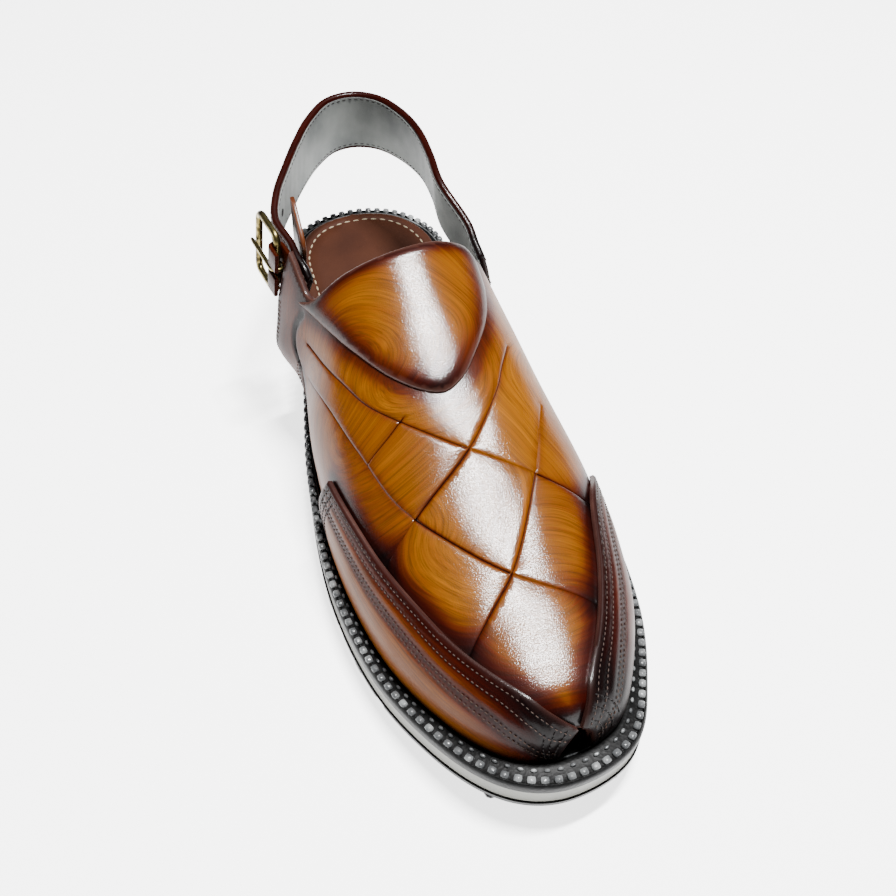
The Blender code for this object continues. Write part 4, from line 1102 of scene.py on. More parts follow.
def crossings(line, others):
    """How far along a line the other lines cross it."""
    places = []
    for other in others:
        distance = beside(line, other)[0]
        if distance.min() < 0.0015:
            places.append(beside(line[[distance.argmin()]], line)[2][0])
    return sorted(places)


SEAM_PITCH = 0.0019
ROW_CLEAR = 0.0015
STITCH_SIZE = (0.0013, 0.0004, 0.0004)
REAR_ROWS = (0.0022, 0.0040)
FRONT_ROWS = (0.0020, 0.0038, 0.0056)
# The glaze takes its own small share of the upper's thickness
GLAZE = 0.0003
# Relief of the weave: each strip's crown and its reach, the step between two strips, the groove between them
STRIP_CROWN, CROWN_REACH = 0.00035, 0.0050
STEP_MEAN, STEP_HALF, STEP_REACH, STEP_FOOT = 0.00003, 0.00014, 0.0035, 0.0003
GROOVE, GROOVE_REACH = 0.00045, 0.00022
RIM_LINES = (-0.0009, -0.00022, 0.00022, 0.0009)
SWAP_LENGTH = 0.0015
SLOT_DEEP, SLOT_REACH = 0.0009, 0.0011
BULGE, BULGE_TURN, BULGE_AROUND = 0.0040, (0.388, 0.028), (0.165, 0.075)
# Strength and reach of the stains beside the rands, the panel and the cut edges; of the painted shade beside
# the weave's lines; of the stains in its corners; then the reach of the painted shade in the weave's creases
# and in the slot, and how dark that shade goes
RAND_STAIN, PANEL_STAIN, EDGE_STAIN = (0.62, 0.0042), (0.48, 0.0040), (0.70, 0.0035)
WEAVE_PAINTED_SHADE, WEAVE_CORNER, RAND_CORNER = (0.14, 0.0016), (0.45, 0.0065), (1.0, 0.010)
CREASE_SHADE_REACH, SLOT_SHADE_REACH, PAINTED_SHADE_DARK = 0.00024, 0.0026, 1.15
VAMP_REACH = 0.030
# Tone of the bare strips, how it swings from strip to strip, and the darker toe, rear and low sides
BARE_TONE, CELL_SWING = 0.10, 0.07
TOE_DARK, TOE_FROM = 0.7, 0.885
REAR_DARK, REAR_FROM = 0.35, 0.44
SIDE_DARK, SIDE_FROM = 0.16, 0.17
ROW_PROUD = 0.0001


def rows_beside(loop, edge, offset, step):
    """The stretch of a line beside an edge that lies inside the loop, on whichever side is inside."""
    both = [side_line(edge, sign * offset) for sign in (-1, 1)]
    best = max(both, key=lambda line: is_inside(line, loop).sum())
    clear = is_inside(best, loop) & (beside(best, closed(loop))[0] > min(offset, ROW_CLEAR) * 0.7)
    kept = best[clear]
    return resample(kept, step) if len(kept) > 3 else kept


def stitch_row(name, flat, out, material, pitch=SEAM_PITCH, size=STITCH_SIZE):
    turn, around = unflatten(flat)
    middles = on_last(turn, around, np.broadcast_to(out, len(flat)))
    return repeat(name, row_set, middles, last_normal(turn, around), material, pitch=pitch, size=size,
                  path="open")


def upper_loop(step):
    pieces = [
        pattern_line(TOE_OPENING, step),
        bottom_line(TOE_OPENING[-1][0], MEDIAL_WINDOW[-1][0], 1.0, step),
        pattern_line(MEDIAL_WINDOW[::-1], step),
        bottom_line(MEDIAL_WINDOW[0][0], MEDIAL_QUARTER[-1][0], 1.0, step),
        pattern_line(MEDIAL_QUARTER[::-1], step), pattern_line(THROAT[::-1], step),
        pattern_line(LATERAL_THROAT[::-1], step), pattern_line(LATERAL_STRAP_END[::-1], step),
        pattern_line(LATERAL_QUARTER[::-1], step),
        bottom_line(LATERAL_QUARTER[0][0], LATERAL_WINDOW[-1][0], 0.0, step),
        pattern_line(LATERAL_WINDOW[::-1], step),
        bottom_line(LATERAL_WINDOW[0][0], TOE_OPENING[0][0], 0.0, step)]
    return np.concatenate([piece[:-1] for piece in pieces])


def make_upper():
    step = VAMP_STEP
    loop = upper_loop(step)
    weave = [pattern_line(line, step) for line in WEAVE]
    rims = [side_line(line, offset) for line in weave for offset in RIM_LINES]
    over = [crossings(line, [other for other in weave[:4] if other is not line]) for line in weave]
    rands = [pattern_line(line, step) for line in (RAND_LATERAL, RAND_MEDIAL)]
    panel = pattern_line(PANEL_FRONT, step)
    slot = pattern_line(SLOT, step)

    def bulge(flat):
        """The lateral quarter stands away from the foot below its strap."""
        turn, around = unflatten(flat)
        return (BULGE * falloff(turn - BULGE_TURN[0], BULGE_TURN[1])
                * falloff(around - BULGE_AROUND[0], BULGE_AROUND[1]))

    def stretches(flat):
        """For each line: distance, how far each point is on its upper side, strength of the line there, which
        sets its groove's depth and its painted shade.
        """
        found = []
        for number, line in enumerate(weave):
            away, side, along = beside(flat, line)
            passed = sum(((along > place).astype(int) for place in over[number]), np.zeros(len(flat), int))
            swaps = [np.tanh((along - place) / SWAP_LENGTH) for place in over[number]]
            raised = side * np.prod(swaps, axis=0)
            marks = np.array(WEAVE_DEPTH_AND_SHADE[number])
            found.append((away, raised * (-1) ** number, marks[np.minimum(passed, len(marks) - 1)]))
        return found

    def outer(flat):
        height = STRIP_CROWN * (1 - np.exp(-nearest(flat, weave) / CROWN_REACH))
        for away, raised, mark in stretches(flat):
            step_up = STEP_MEAN + STEP_HALF * raised
            height += step_up * falloff(away, STEP_REACH) * (1 - falloff(away, STEP_FOOT))
            height -= GROOVE * (0.3 + 0.7 * mark) * falloff(away, GROOVE_REACH)
        height -= SLOT_DEEP * falloff(beside(flat, slot)[0], SLOT_REACH)
        return LEATHER - GLAZE + height + bulge(flat)

    def paint(flat):
        signs = [beside(flat, line)[1] for line in weave[:4]]
        cells = sum((sign > 0) * 2 ** number for number, sign in enumerate(signs))
        by_weave = nearest(flat, weave)
        # Painted shade in the grooves where the strips cross, darker where a stretch is marked darker
        crease_shade = together([mark * falloff(away, CREASE_SHADE_REACH) for away, _, mark in stretches(flat)])
        by_rand, by_panel = nearest(flat, rands), beside(flat, panel)[0]
        by_edge = beside(flat, closed(loop))[0]
        turn, around = unflatten(flat)
        corner = stain(by_weave, WEAVE_CORNER) * stain(by_rand, RAND_CORNER)
        toe = TOE_DARK * np.clip((turn - TOE_FROM) / 0.05, 0, 1)
        rear = REAR_DARK * np.clip((REAR_FROM - turn) / 0.05, 0, 1)
        low_sides = SIDE_DARK * np.clip((np.abs(around - 0.5) - SIDE_FROM) / 0.15, 0, 1)
        tone = BARE_TONE + CELL_SWING * np.sin(cells * 2.1) + low_sides
        # The mark beside the weave's lines is painted shade, the rest are stains
        marks = [stain(by_rand, RAND_STAIN), stain(by_panel, PANEL_STAIN), stain(by_edge, EDGE_STAIN),
                 stain(by_weave, WEAVE_PAINTED_SHADE), corner, toe, rear]
        # Painted shade in the creases and the slot, laid over the stains wherever it is darker
        folds = together([crease_shade, falloff(beside(flat, slot)[0], SLOT_SHADE_REACH)])
        return np.maximum(tone + together(marks), PAINTED_SHADE_DARK * folds), swirls(flat, cells, VAMP_REACH)

    lines = weave + rims + [slot]
    pieces = [leather_wall("upper_leather", loop, lines, outer, bulge, LEATHER_FINISH, paint, step)]
    for edge, offsets in ((MEDIAL_QUARTER, REAR_ROWS), (MEDIAL_WINDOW[:4], FRONT_ROWS),
                          (LATERAL_QUARTER, REAR_ROWS), (LATERAL_WINDOW[3:], FRONT_ROWS)):
        for offset in offsets:
            row = rows_beside(loop, pattern_line(edge, step), offset, step)
            pieces.append(stitch_row("quarter_row", row, LEATHER + ROW_PROUD + bulge(row), dull_thread))
    return finish_piece(join("upper_leather", pieces), ["upper"])


make_upper()

# Instep panel
# One rounded three-cornered piece laid over the weave at the throat and cemented down, brushed and burnished
# like the strips. Its edge is pared thin all round.

PANEL_STEP = 0.0012
PARED, PARED_REACH = 0.0010, 0.0018
PANEL_CROWN, PANEL_CROWN_REACH = 0.0005, 0.006
PANEL_REACH, PANEL_START = 0.024, 2.6


def make_panel():
    step = PANEL_STEP
    rear, front = pattern_line(PANEL_REAR, step), pattern_line(PANEL_FRONT, step)
    loop = np.concatenate([rear[:-1], front[:-1]])

    def outer(flat):
        from_edge = beside(flat, closed(loop))[0]
        pared = PARED * falloff(from_edge, PARED_REACH)
        crown = PANEL_CROWN * (1 - np.exp(-from_edge / PANEL_CROWN_REACH))
        return LEATHER + LIFT + OVERLAY - GLAZE - pared + crown

    def paint(flat):
        by_rear, by_front = beside(flat, rear)[0], beside(flat, front)[0]
        turn, around = unflatten(flat)
        tip = np.clip((turn - 0.500) / 0.035, 0, 1) ** 2
        lateral = np.clip((0.42 - around) / 0.10, 0, 1)
        medial = np.clip((around - 0.565) / 0.05, 0, 1)
        marks = [0.72 * falloff(by_rear, 0.0040), (0.40 + 0.3 * lateral) * falloff(by_front, 0.0048),
                 0.6 * tip, 0.25 * lateral, 0.40 * medial]
        burnish = 0.12 + together(marks)
        return burnish, swirls(flat, np.zeros(len(flat)), PANEL_REACH, PANEL_START)

    piece = leather_wall("instep_panel_leather", loop, [], outer, LEATHER + GAP, LEATHER_FINISH, paint, step)
    return finish_piece(piece, ["instep_panel"])


make_panel()

# Rands
# Two curved strips like mudguards, one along each side of the toe, stained darker than the vamp. Each is sewn
# with rows of thread along its upper edge and across both its ends, and lasted under with the upper.

RAND_STEP = 0.0010
RAND_LATERAL_END = [(0.552, 0.00), (0.545, 0.09), (0.552, 0.185)]
RAND_MEDIAL_END = [(0.596, 1.00), (0.592, 0.90), (0.600, 0.800)]
RAND_LATERAL_TOE = [(0.946, 0.550), (0.968, 0.520), (0.989, 0.420)]
RAND_MEDIAL_TOE = [(0.944, 0.572), (0.949, 0.790), (0.952, 1.00)]
RAND_FACE = LEATHER + LIFT + OVERLAY
RAND_ROUND = 0.0008
# Leather swells between the rows, is drawn in along them, and stands up along its upper edge
SWELL, SWELL_REACH = 0.00045, 0.0014
DRAWN, DRAWN_REACH = 0.00022, 0.0005
EDGE_BEAD, EDGE_BEAD_REACH = 0.0002, 0.003
# Stains: the band along the upper edge, a second one between the lower rows, both ends, and each row
BAND_STAIN, LOW_BAND, LOW_BAND_STAIN = (0.60, 0.0045), 0.0088, (0.30, 0.0020)
TOE_STAIN, END_STAIN, ROW_STAIN = (0.95, 0.024), (0.45, 0.007), (0.30, 0.0008)
LONG_ROWS = ((0.0019, "dull"), (0.0042, "dull"), (0.0080, "brown"), (0.0096, "brown"))
END_ROWS = (0.0030, 0.0062, 0.0090)
END_STITCH = (0.0018, 0.0005, 0.0004)


rand_leather = brushed_leather("rand_leather", streaks=0.45, roughness=0.42, coat=0.035,
                               edge_colour=(0.028, 0.011, 0.009))
THREADS = {"dull": dull_thread, "brown": brown_thread, "dark": dark_thread}


def make_rand(node, edge, toe, end, around, darker):
    step = RAND_STEP
    inner_line, toe_line = pattern_line(edge, step), pattern_line(toe, step)
    end_line = pattern_line(end, step)
    tip = pattern_line([toe[-1], (toe[-1][0], around)], step)
    bottom = bottom_line(toe[-1][0], end[0][0], around, step)
    sides = (inner_line, toe_line, tip, bottom, end_line)
    loop = np.concatenate([line[:-1] for line in sides if len(line) > 2])
    rows = [(rows_beside(loop, inner_line, offset, step), colour) for offset, colour in LONG_ROWS]
    rows += [(rows_beside(loop, line, offset, step), "dark")
             for line in (toe_line, end_line) for offset in END_ROWS]
    rows = [(line, colour) for line, colour in rows if len(line) > 3]
    lines = [line for line, colour in rows]

    def outer(flat):
        by_row, inside = nearest(flat, lines), beside(flat, inner_line)[0]
        swell = SWELL * (1 - np.exp(-by_row / SWELL_REACH)) - DRAWN * falloff(by_row, DRAWN_REACH)
        return RAND_FACE - GLAZE + swell + EDGE_BEAD * falloff(inside, EDGE_BEAD_REACH)

    def paint(flat):
        inside, by_toe = beside(flat, inner_line)[0], beside(flat, toe_line)[0]
        by_end, by_row = beside(flat, end_line)[0], nearest(flat, lines)
        band = stain(inside, BAND_STAIN) + stain(inside - LOW_BAND, LOW_BAND_STAIN)
        marks = [band, stain(by_toe, TOE_STAIN), stain(by_end, END_STAIN), stain(by_row, ROW_STAIN), darker]
        stroke = np.column_stack([inside, beside(flat, inner_line)[2], np.zeros(len(flat))])
        return BARE_TONE + together(marks), stroke

    finish = [rand_leather, grey_lining, cut_edge]
    wall = leather_wall(node + "_leather", loop, [], outer, LEATHER + GAP, finish, paint, step,
                        round_edge=RAND_ROUND)
    sewn = [stitch_row(node + "_row", line, RAND_FACE - ROW_PROUD, THREADS[colour],
                       size=STITCH_SIZE if colour != "dark" else END_STITCH)
            for line, colour in rows]
    return finish_piece(join(node + "_leather", [wall] + sewn), [node])


make_rand("rand_lateral", RAND_LATERAL, RAND_LATERAL_TOE, RAND_LATERAL_END, 0.0, 0.10)
make_rand("rand_medial", RAND_MEDIAL, RAND_MEDIAL_TOE, RAND_MEDIAL_END, 1.0, 0.35)

# Heel strap
# Two layers sewn together: burnished brown leather outside, wrapped over the edges, and grey lining leather
# inside. One end is sewn to the medial quarter, the tail is punched for the prong and tucks under the lateral
# one.

STRAP_WIDTH = 0.025
STRAP_THICK = 0.0030
STRAP_MIDDLE = 0.082
TAIL_CLEAR = 0.0014
LINING_MARGIN = 0.0017
LINING_PROUD = 0.00025
STRAP_LANDING = [(0.399, 0.706, 0.72), (0.386, 0.706, 0.86), (0.370, 0.702, 0.96)]
STRAP_TAIL = [(0.389, 0.318, 0.74), (0.397, 0.314, 0.70)]
# Middle line between them: x in shares of BALL_WIDTH, y in shares of SOLE_LENGTH from the middle, rise above
# STRAP_MIDDLE, outward lean of the top edge and width in shares of STRAP_WIDTH
#     x       y     rise   lean  width
STRAP_PATH = [
    (0.226, 0.262, -0.12, -0.10, 1.00),
    (0.233, 0.319, -0.04, -0.12, 1.00),
    (0.228, 0.373, 0.00, -0.10, 1.02),
    (0.190, 0.427, 0.00, -0.04, 1.04),
    (0.120, 0.469, 0.00, 0.02, 1.06),
    (0.030, 0.486, 0.00, 0.06, 1.06),
    (-0.066, 0.480, 0.00, 0.06, 1.06),
    (-0.162, 0.444, 0.00, 0.04, 1.02),
    (-0.240, 0.397, 0.00, 0.02, 0.96),
    (-0.312, 0.346, -0.02, 0.00, 0.90),
    (-0.370, 0.302, -0.06, -0.02, 0.84),
    (-0.402, 0.258, -0.14, -0.06, 0.80),
    (-0.375, 0.214, -0.24, -0.10, 0.78),
    (-0.366, 0.186, -0.30, -0.12, 0.76),
]
STRAP_HOLES = (0.805, 0.835, 0.865, 0.895)
HOLE_SIZE = (0.0032, 0.0044, 0.0003)
LANDING_ROWS = (0.0030, 0.0150)
STRAP_ROW_INSET = 0.0026
STRAP_ROW_PITCH = 0.0026
STRAP_STITCH, LINING_STITCH = (0.0019, 0.0006, 0.0005), (0.0019, 0.0005, 0.0004)
ROW_SUNK = 0.00005
GROOVE_HALF, GROOVE_DEEP = 0.0004, 0.00018
CROWN = 0.0002
LINING_CREASE, CREASE_WAVES = 0.00012, 260
HOLE_PROUD = 0.0002
TAIL_DARK, STRAP_TONE, STRAP_EDGE_STAIN = (0.25, 0.012), 0.42, (0.35, 0.0024)


def last_frame(turn, around):
    """Point of the last with its three directions: towards the heel, up round the foot, outwards."""
    place = np.array([turn]), np.array([around])
    step = 1e-3
    point = last_surface(*place)[0]
    heelwards = last_surface(place[0] - step, place[1])[0] - last_surface(place[0] + step, place[1])[0]
    upwards = last_surface(place[0], place[1] + step)[0] - last_surface(place[0], place[1] - step)[0]
    if around > 0.5:
        upwards = -upwards
    heelwards /= np.linalg.norm(heelwards)
    upwards /= np.linalg.norm(upwards)
    outwards = np.cross(heelwards, upwards) * (1 if around > 0.5 else -1)
    return point, heelwards, upwards, outwards / np.linalg.norm(outwards)


def strap_edges():
    """Lower and upper edge of the heel strap, from its sewn end round the heel to its tail."""
    low, high = [], []

    def add(middle, upwards, width):
        low.append(middle - upwards * width * STRAP_WIDTH / 2)
        high.append(middle + upwards * width * STRAP_WIDTH / 2)

    for turn, around, width in STRAP_LANDING:
        point, heelwards, upwards, outwards = last_frame(turn, around)
        add(point + outwards * (LEATHER + GAP + STRAP_THICK / 2), upwards, width)
    path = np.array([(MIDDLE_X + x * BALL_WIDTH, y * SOLE_LENGTH, STRAP_MIDDLE + rise * STRAP_WIDTH)
                     for x, y, rise, _, _ in STRAP_PATH])
    for middle, run, row in zip(path, np.gradient(path, axis=0), STRAP_PATH):
        outwards = np.array([run[1], -run[0], 0.0]) / math.hypot(run[0], run[1])
        upwards = np.array([0.0, 0.0, 1.0]) + row[3] * outwards
        add(middle, upwards / np.linalg.norm(upwards), row[4])
    for turn, around, width in STRAP_TAIL:
        point, heelwards, upwards, outwards = last_frame(turn, around)
        add(point - outwards * (TAIL_CLEAR + STRAP_THICK / 2), upwards, width)
    return np.array(low), np.array(high)


def strap_frames(samples=14):
    """Middle line of the strap, its unit directions across it and out of its outer face, and half widths."""
    low, high = strap_edges()
    both = smooth_curve(np.hstack([low, high]), samples=samples)
    middle, across = (both[:, :3] + both[:, 3:]) / 2, both[:, 3:] - both[:, :3]
    half = np.linalg.norm(across, axis=1) / 2
    across = across / (2 * half[:, None])
    face = np.cross(np.gradient(middle, axis=0), across)
    face /= np.linalg.norm(face, axis=1, keepdims=True)
    heel = middle[:, 1].argmax()
    if face[heel, 1] < 0:
        face = -face
    return middle, across, face, half


def strap_rings(frames, section):
    """section gives for each half width the points across the strap and out of it."""
    middle, across, face, half = frames
    return np.array([[m + a * u + f * v for u, v in section(h, k / (len(half) - 1))]
                     for k, (m, a, f, h) in enumerate(zip(middle, across, face, half))])


strap_leather = brushed_leather("strap_leather", streaks=0.35, roughness=0.42, coat=0.050)


def make_heel_strap():
    frames = strap_frames()
    thick = STRAP_THICK / 2

    def outer_section(half, share):
        rounded = [(math.sin(a), math.cos(a)) for a in np.linspace(-math.pi / 2, math.pi / 2, 7)]
        top = [(half - thick * 0.75 + thick * 0.75 * c, thick * s) for s, c in rounded]
        bottom = [(-u, v) for u, v in top[::-1]]
        row = half - STRAP_ROW_INSET
        groove = [(row - GROOVE_HALF, thick), (row, thick - GROOVE_DEEP), (row + GROOVE_HALF, thick)]
        outside = groove[::-1] + [(0.0, thick + CROWN)] + [(-u, v) for u, v in groove]
        return top + outside + bottom + [(0.0, -thick)]

    rings = strap_rings(frames, outer_section)
    body = loft("heel_strap", rings, strap_leather, caps=True, sharp=70)
    middle, across, face, half = frames
    count = rings.shape[1]
    along = np.concatenate([[0.0], np.cumsum(np.linalg.norm(np.diff(middle, axis=0), axis=1))])
    u = np.einsum("nkj,nj->nk", rings - middle[:, None], across)
    edge = half[:, None] - np.abs(u)
    ends = np.minimum(along, along[-1] - along)[:, None]
    burnish = STRAP_TONE + stain(edge, STRAP_EDGE_STAIN) + stain(ends, TAIL_DARK)
    stroke = np.stack([u, np.repeat(along[:, None], count, axis=1), np.zeros_like(u)], axis=-1)
    tint(body, burnish.ravel(), stroke.reshape(-1, 3))

    def lining_section(half, share):
        width = half - LINING_MARGIN
        places = np.linspace(-width, width, 9)
        crease = [LINING_CREASE * math.sin(CREASE_WAVES * share + 5 * p / width)
                  * math.exp(-((p / width - 0.2) ** 2) * 3) for p in places]
        front = [(p, -thick - LINING_PROUD + c) for p, c in zip(places, crease)]
        return front + [(width * 0.99, -thick + 0.0004), (-width * 0.99, -thick + 0.0004)]

    lining = loft("heel_strap_lining", strap_rings(frames, lining_section), grey_lining, caps=True, sharp=60)
    parts = [body, lining]
    inset = half - STRAP_ROW_INSET

    def sew(name, line, rise, material, size):
        parts.append(repeat(name, row_set, line, rise, material, pitch=STRAP_ROW_PITCH, size=size,
                            path="open"))

    for sign in (-1, 1):
        beside_edge = middle + across * (sign * inset)[:, None]
        sew("strap_row", beside_edge + face * (thick - ROW_SUNK), face, brown_thread, STRAP_STITCH)
        sew("strap_lining_row", beside_edge - face * (thick + LINING_PROUD - ROW_SUNK), -face, dark_thread,
            LINING_STITCH)
    for place in LANDING_ROWS:
        k = int(np.searchsorted(along, place))
        row = middle[k] + np.linspace(-1, 1, 12)[:, None] * across[k] * inset[k] + face[k] * thick
        sew("strap_row", row, face[k], brown_thread, STRAP_STITCH)
    parts.append(make_strap_holes(frames, along))
    return finish_piece(join("heel_strap_leather", parts), ["heel_strap"])


def make_strap_holes(frames, along):
    """Holes near the tail, drawn as near-black ovals on both faces: painted shade where the punched holes are.
    """
    middle, across, face, half = frames
    dark = plain_leather("hole_painted_shade", (0.001, 0.001, 0.001), (0.002, 0.0015, 0.001), 0.8)
    points, rises, runs = [], [], []
    for share in STRAP_HOLES:
        k = int(np.searchsorted(along, along[-1] * share))
        for sign in (-1, 1):
            proud = LINING_PROUD if sign < 0 else HOLE_PROUD
            points.append(middle[k] + sign * face[k] * (STRAP_THICK / 2 + proud))
            rises.append(sign * face[k])
            runs.append(across[k])
    return repeat("strap_holes", stud_set, points, np.array(rises), dark, size=HOLE_SIZE,
                  run=np.array(runs))


make_heel_strap()

# Buckle guard
# A plain tan tab, cut edges left raw, sewn to the lateral quarter at its tip. It stands between the buckle
# and the foot.

GUARD_THICK = 0.0016
GUARD_EASE = 0.0004
#     x, front and rear edge, rise above STRAP_MIDDLE
GUARD = [
    (-0.396, 0.176, 0.200, -1.08),
    (-0.362, 0.184, 0.222, -0.80),
    (-0.340, 0.194, 0.244, -0.48),
    (-0.334, 0.192, 0.256, -0.08),
    (-0.332, 0.193, 0.258, 0.28),
    (-0.332, 0.240, 0.254, 0.60),
]


def make_guard():
    tan = plain_leather("guard_leather", (0.075, 0.020, 0.0045), (0.045, 0.010, 0.0022), roughness=0.45,
                        coat=0.15)
    half, ease = GUARD_THICK / 2, GUARD_EASE
    rings = []
    for x, front, rear, rise in smooth_curve(GUARD, samples=8):
        x, front, rear = MIDDLE_X + x * BALL_WIDTH, front * SOLE_LENGTH, rear * SOLE_LENGTH
        z = STRAP_MIDDLE + rise * STRAP_WIDTH
        section = [(-half, front + ease), (-half, rear - ease), (-half + ease, rear), (half - ease, rear),
                   (half, rear - ease), (half, front + ease), (half - ease, front), (-half + ease, front)]
        rings.append([(x + dx, y, z) for dx, y in section])
    return finish_piece(loft("buckle_guard_leather", rings, tan, caps=True, sharp=60), ["buckle_guard"])


make_guard()

# Buckle
# Cast brass, aged and rubbed bright on its rods: a frame with rounded corners and a prong hooked round its
# front bar. The quarter's strap is folded round the same bar and sewn.

ROD_RADIUS = 0.0014
FRAME_DEEP, FRAME_TALL, FRAME_CORNER = 0.0180, 0.0270, 0.0035
PRONG_RADIUS = 0.0009
BAR_BEHIND = 0.0063
BAR_OUT = 0.0008
BUCKLE_TURN = 0.20
BUCKLE_RISE = 0.03
BUCKLE_LEAN = 0.12
FOLD_THICK = 0.0016
FOLD_HEIGHT = 0.0195
FOLD_LEG = 0.0060
FOLD_EASE = 0.0003
FOLD_BURNISH = 0.62
# Prong: shares of FRAME_DEEP from its hook to its tip, and how it thins over the last three
PRONG_SHARES = (0.20, 0.40, 0.62, 0.80, 0.95, 1.04, 1.08)
PRONG_THINNING = (0.95, 0.80, 0.45)
# Degrees of the prong's hook round the bar
PRONG_HOOK = -60 - 14 * np.arange(16)


def aged_brass():
    material, tree, shader = new_material("aged_brass", 0.32, metallic=1.0)
    place = put(tree, "ShaderNodeTexCoord").outputs["Object"]
    noise = put(tree, "ShaderNodeTexNoise", [("Vector", place), ("Scale", 260.0), ("Detail", 5.0)])
    patches = noise.outputs[0]
    colour = ramp(tree, patches, [(0.35, (0.030, 0.022, 0.008)), (0.50, (0.16, 0.125, 0.045)),
                                  (0.68, (0.42, 0.36, 0.16))])
    tree.links.new(colour, shader.inputs["Base Color"])
    rough = put(tree, "ShaderNodeMapRange", [("Value", patches), ("From Min", 0.3), ("From Max", 0.7),
                                             ("To Min", 0.48), ("To Max", 0.20)])
    tree.links.new(rough.outputs[0], shader.inputs["Roughness"])
    bump = put(tree, "ShaderNodeBump", [("Distance", 0.0001), ("Height", patches)])
    tree.links.new(bump.outputs[0], shader.inputs["Normal"])
    return material


def buckle_axes():
    """Middle of the buckle's front bar, and its directions: along the strap, up, outwards."""
    point, heelwards, upwards, outwards = last_frame(
        LATERAL_STRAP_END[0][0], (LATERAL_STRAP_END[0][1] + LATERAL_STRAP_END[1][1]) / 2)
    bar = point + heelwards * BAR_BEHIND + outwards * BAR_OUT
    along = np.array([-BUCKLE_TURN, 1.0, BUCKLE_RISE])
    along /= np.linalg.norm(along)
    out = np.cross([BUCKLE_LEAN, 0.0, 1.0], along)
    out /= np.linalg.norm(out)
    return bar, along, np.cross(along, out), out


def rod(name, path, radii, plane_normal, material, closed=False, sides=16):
    """Round rod along a flat path, with a radius at each point."""
    path = np.array(path)
    runs = np.roll(path, -1, axis=0) - np.roll(path, 1, axis=0) if closed else np.gradient(path, axis=0)
    rings = []
    for point, run, radius in zip(path, runs, np.broadcast_to(radii, len(path))):
        side = np.cross(plane_normal, run / np.linalg.norm(run))
        rings.append([point + radius * (math.cos(a) * side + math.sin(a) * plane_normal)
                      for a in np.linspace(0, 2 * math.pi, sides + 1)[:-1]])
    return loft(name, rings, material, closed=closed, caps=not closed, sharp=60)


def make_buckle():
    brass = aged_brass()
    bar, along, up, out = buckle_axes()
    path = []
    for number, (end, level) in enumerate([(0, -1), (1, -1), (1, 1), (0, 1)]):
        centre_along = FRAME_CORNER if end == 0 else FRAME_DEEP - FRAME_CORNER
        centre_up = level * (FRAME_TALL / 2 - FRAME_CORNER)
        for a in math.pi + number * math.pi / 2 + np.linspace(0, math.pi / 2, 9):
            path.append(bar + along * (centre_along + FRAME_CORNER * math.cos(a))
                        + up * (centre_up + FRAME_CORNER * math.sin(a)))
    finish_piece(rod("buckle_frame_brass", path, ROD_RADIUS, out, brass, closed=True), ["buckle_frame"])
    hook = ROD_RADIUS + GAP + PRONG_RADIUS
    path = [bar + hook * (along * math.cos(a) + out * math.sin(a)) for a in np.radians(PRONG_HOOK)]
    path += [bar + along * FRAME_DEEP * share + out * hook for share in PRONG_SHARES]
    radii = PRONG_RADIUS * np.concatenate([np.ones(len(path) - len(PRONG_THINNING)), PRONG_THINNING])
    finish_piece(rod("buckle_prong_brass", path, radii, up, brass), ["buckle_prong"])
    bend = ROD_RADIUS + GAP + FOLD_THICK / 2
    line = [(-FOLD_LEG, bend)] + [(bend * math.cos(t), bend * math.sin(t))
                                  for t in np.linspace(math.pi / 2, -math.pi / 2, 15)] + [(-FOLD_LEG, -bend)]
    line = np.array(line)
    runs = np.gradient(line, axis=0)
    runs /= np.linalg.norm(runs, axis=1, keepdims=True)
    slot = PRONG_RADIUS + 2 * GAP
    folds = []
    for bottom, top in ((-FOLD_HEIGHT / 2, -slot), (slot, FOLD_HEIGHT / 2)):
        rings = []
        for (a, o), (ra, ro) in zip(line, runs):
            side = np.array([-ro, ra]) * FOLD_THICK / 2
            low, high = bottom + FOLD_EASE, top - FOLD_EASE
            section = [(1, low), (1, high), (0.7, top), (-0.7, top), (-1, high), (-1, low), (-0.7, bottom),
                       (0.7, bottom)]
            rings.append([bar + along * (a + side[0] * s) + out * (o + side[1] * s) + up * z
                          for s, z in section])
        fold = loft("buckle_fold", rings, strap_leather, caps=True, sharp=60)
        count = len(fold.data.vertices)
        tint(fold, np.full(count, FOLD_BURNISH), np.zeros((count, 3)))
        folds.append(fold)
    return finish_piece(join("buckle_fold_leather", folds), ["buckle_fold"])


make_buckle()

# Floor, light and camera
# A white table that glows a little, one long soft box above and to the medial side, and a weak even light
# round them. The camera stands at the photograph's place and is turned to hold the one shoe.

EYE = Vector((MIDDLE_X - 0.0820, -0.2677, 0.3452))
AIM = Vector((MIDDLE_X + 0.0017, -0.0084, 0.0300))
ROLL = math.radians(-1.27)
FOCAL_SHARE = 1071 / 896


FLOOR_HALF = 3.0
FLOOR_GLOW = 2.6
LAMP_PLACE, LAMP_AIM = (0.20, 0.04, 1.30), (0.0, 0.0, 0.04)
LAMP_WIDTH, LAMP_LENGTH, LAMP_POWER = 0.065, 0.38, 70
ROOM_COLOUR, ROOM_STRENGTH = (0.95, 0.97, 1.0, 1.0), 0.08


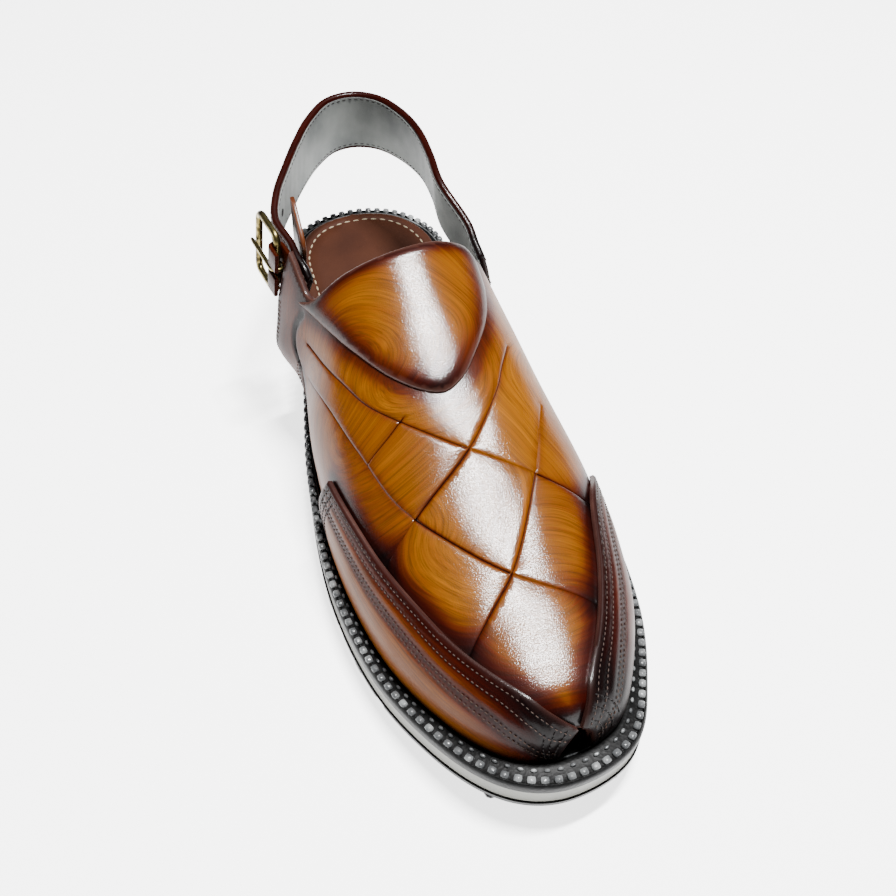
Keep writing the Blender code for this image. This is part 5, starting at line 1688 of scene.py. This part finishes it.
def make_floor():
    half = FLOOR_HALF
    corners = [(-half, -half, 0), (half, -half, 0), (half, half, 0), (-half, half, 0)]
    material, tree, shader = new_material("white_table", 0.6, specular=0.2)
    place = put(tree, "ShaderNodeTexCoord").outputs["Object"]
    cloud = put(tree, "ShaderNodeTexNoise", [("Vector", place), ("Scale", 3.0)])
    tree.links.new(blend_colour(tree, cloud.outputs[0], (0.93, 0.93, 0.93, 1), (0.95, 0.95, 0.95, 1)),
                   shader.inputs["Base Color"])
    shader.inputs["Emission Color"].default_value = (1, 1, 1, 1)
    shader.inputs["Emission Strength"].default_value = FLOOR_GLOW
    mesh = bpy.data.meshes.new("floor")
    mesh.from_pydata(corners, [], [(0, 1, 2, 3)])
    mesh.materials.append(material)
    floor = bpy.data.objects.new("floor", mesh)
    bpy.context.scene.collection.objects.link(floor)


def add_light():
    light = bpy.data.lights.new("soft_box", "AREA")
    light.shape = "RECTANGLE"
    light.size, light.size_y = LAMP_WIDTH, LAMP_LENGTH
    light.energy = LAMP_POWER
    box = bpy.data.objects.new("soft_box", light)
    box.location = LAMP_PLACE
    box.rotation_euler = (Vector(LAMP_AIM) - Vector(LAMP_PLACE)).to_track_quat("-Z", "Y").to_euler()
    bpy.context.scene.collection.objects.link(box)
    room = bpy.data.worlds.new("studio")
    room.use_nodes = True
    background = room.node_tree.nodes["Background"]
    background.inputs["Color"].default_value = ROOM_COLOUR
    background.inputs["Strength"].default_value = ROOM_STRENGTH
    bpy.context.scene.world = room


def add_camera():
    forward = (AIM - EYE).normalized()
    level = forward.cross(Vector((0, 0, 1))).normalized()
    upright = level.cross(forward)
    up = upright * math.cos(ROLL) + level * math.sin(ROLL)
    right = forward.cross(up)
    data = bpy.data.cameras.new("camera")
    data.sensor_width = 36.0
    data.lens = data.sensor_width * FOCAL_SHARE
    data.clip_start = 0.01
    camera = bpy.data.objects.new("camera", data)
    turned = Matrix((right, up, -forward)).transposed().to_4x4()
    camera.matrix_world = Matrix.Translation(EYE) @ turned
    bpy.context.scene.collection.objects.link(camera)
    bpy.context.scene.camera = camera


make_floor()
add_light()
add_camera()
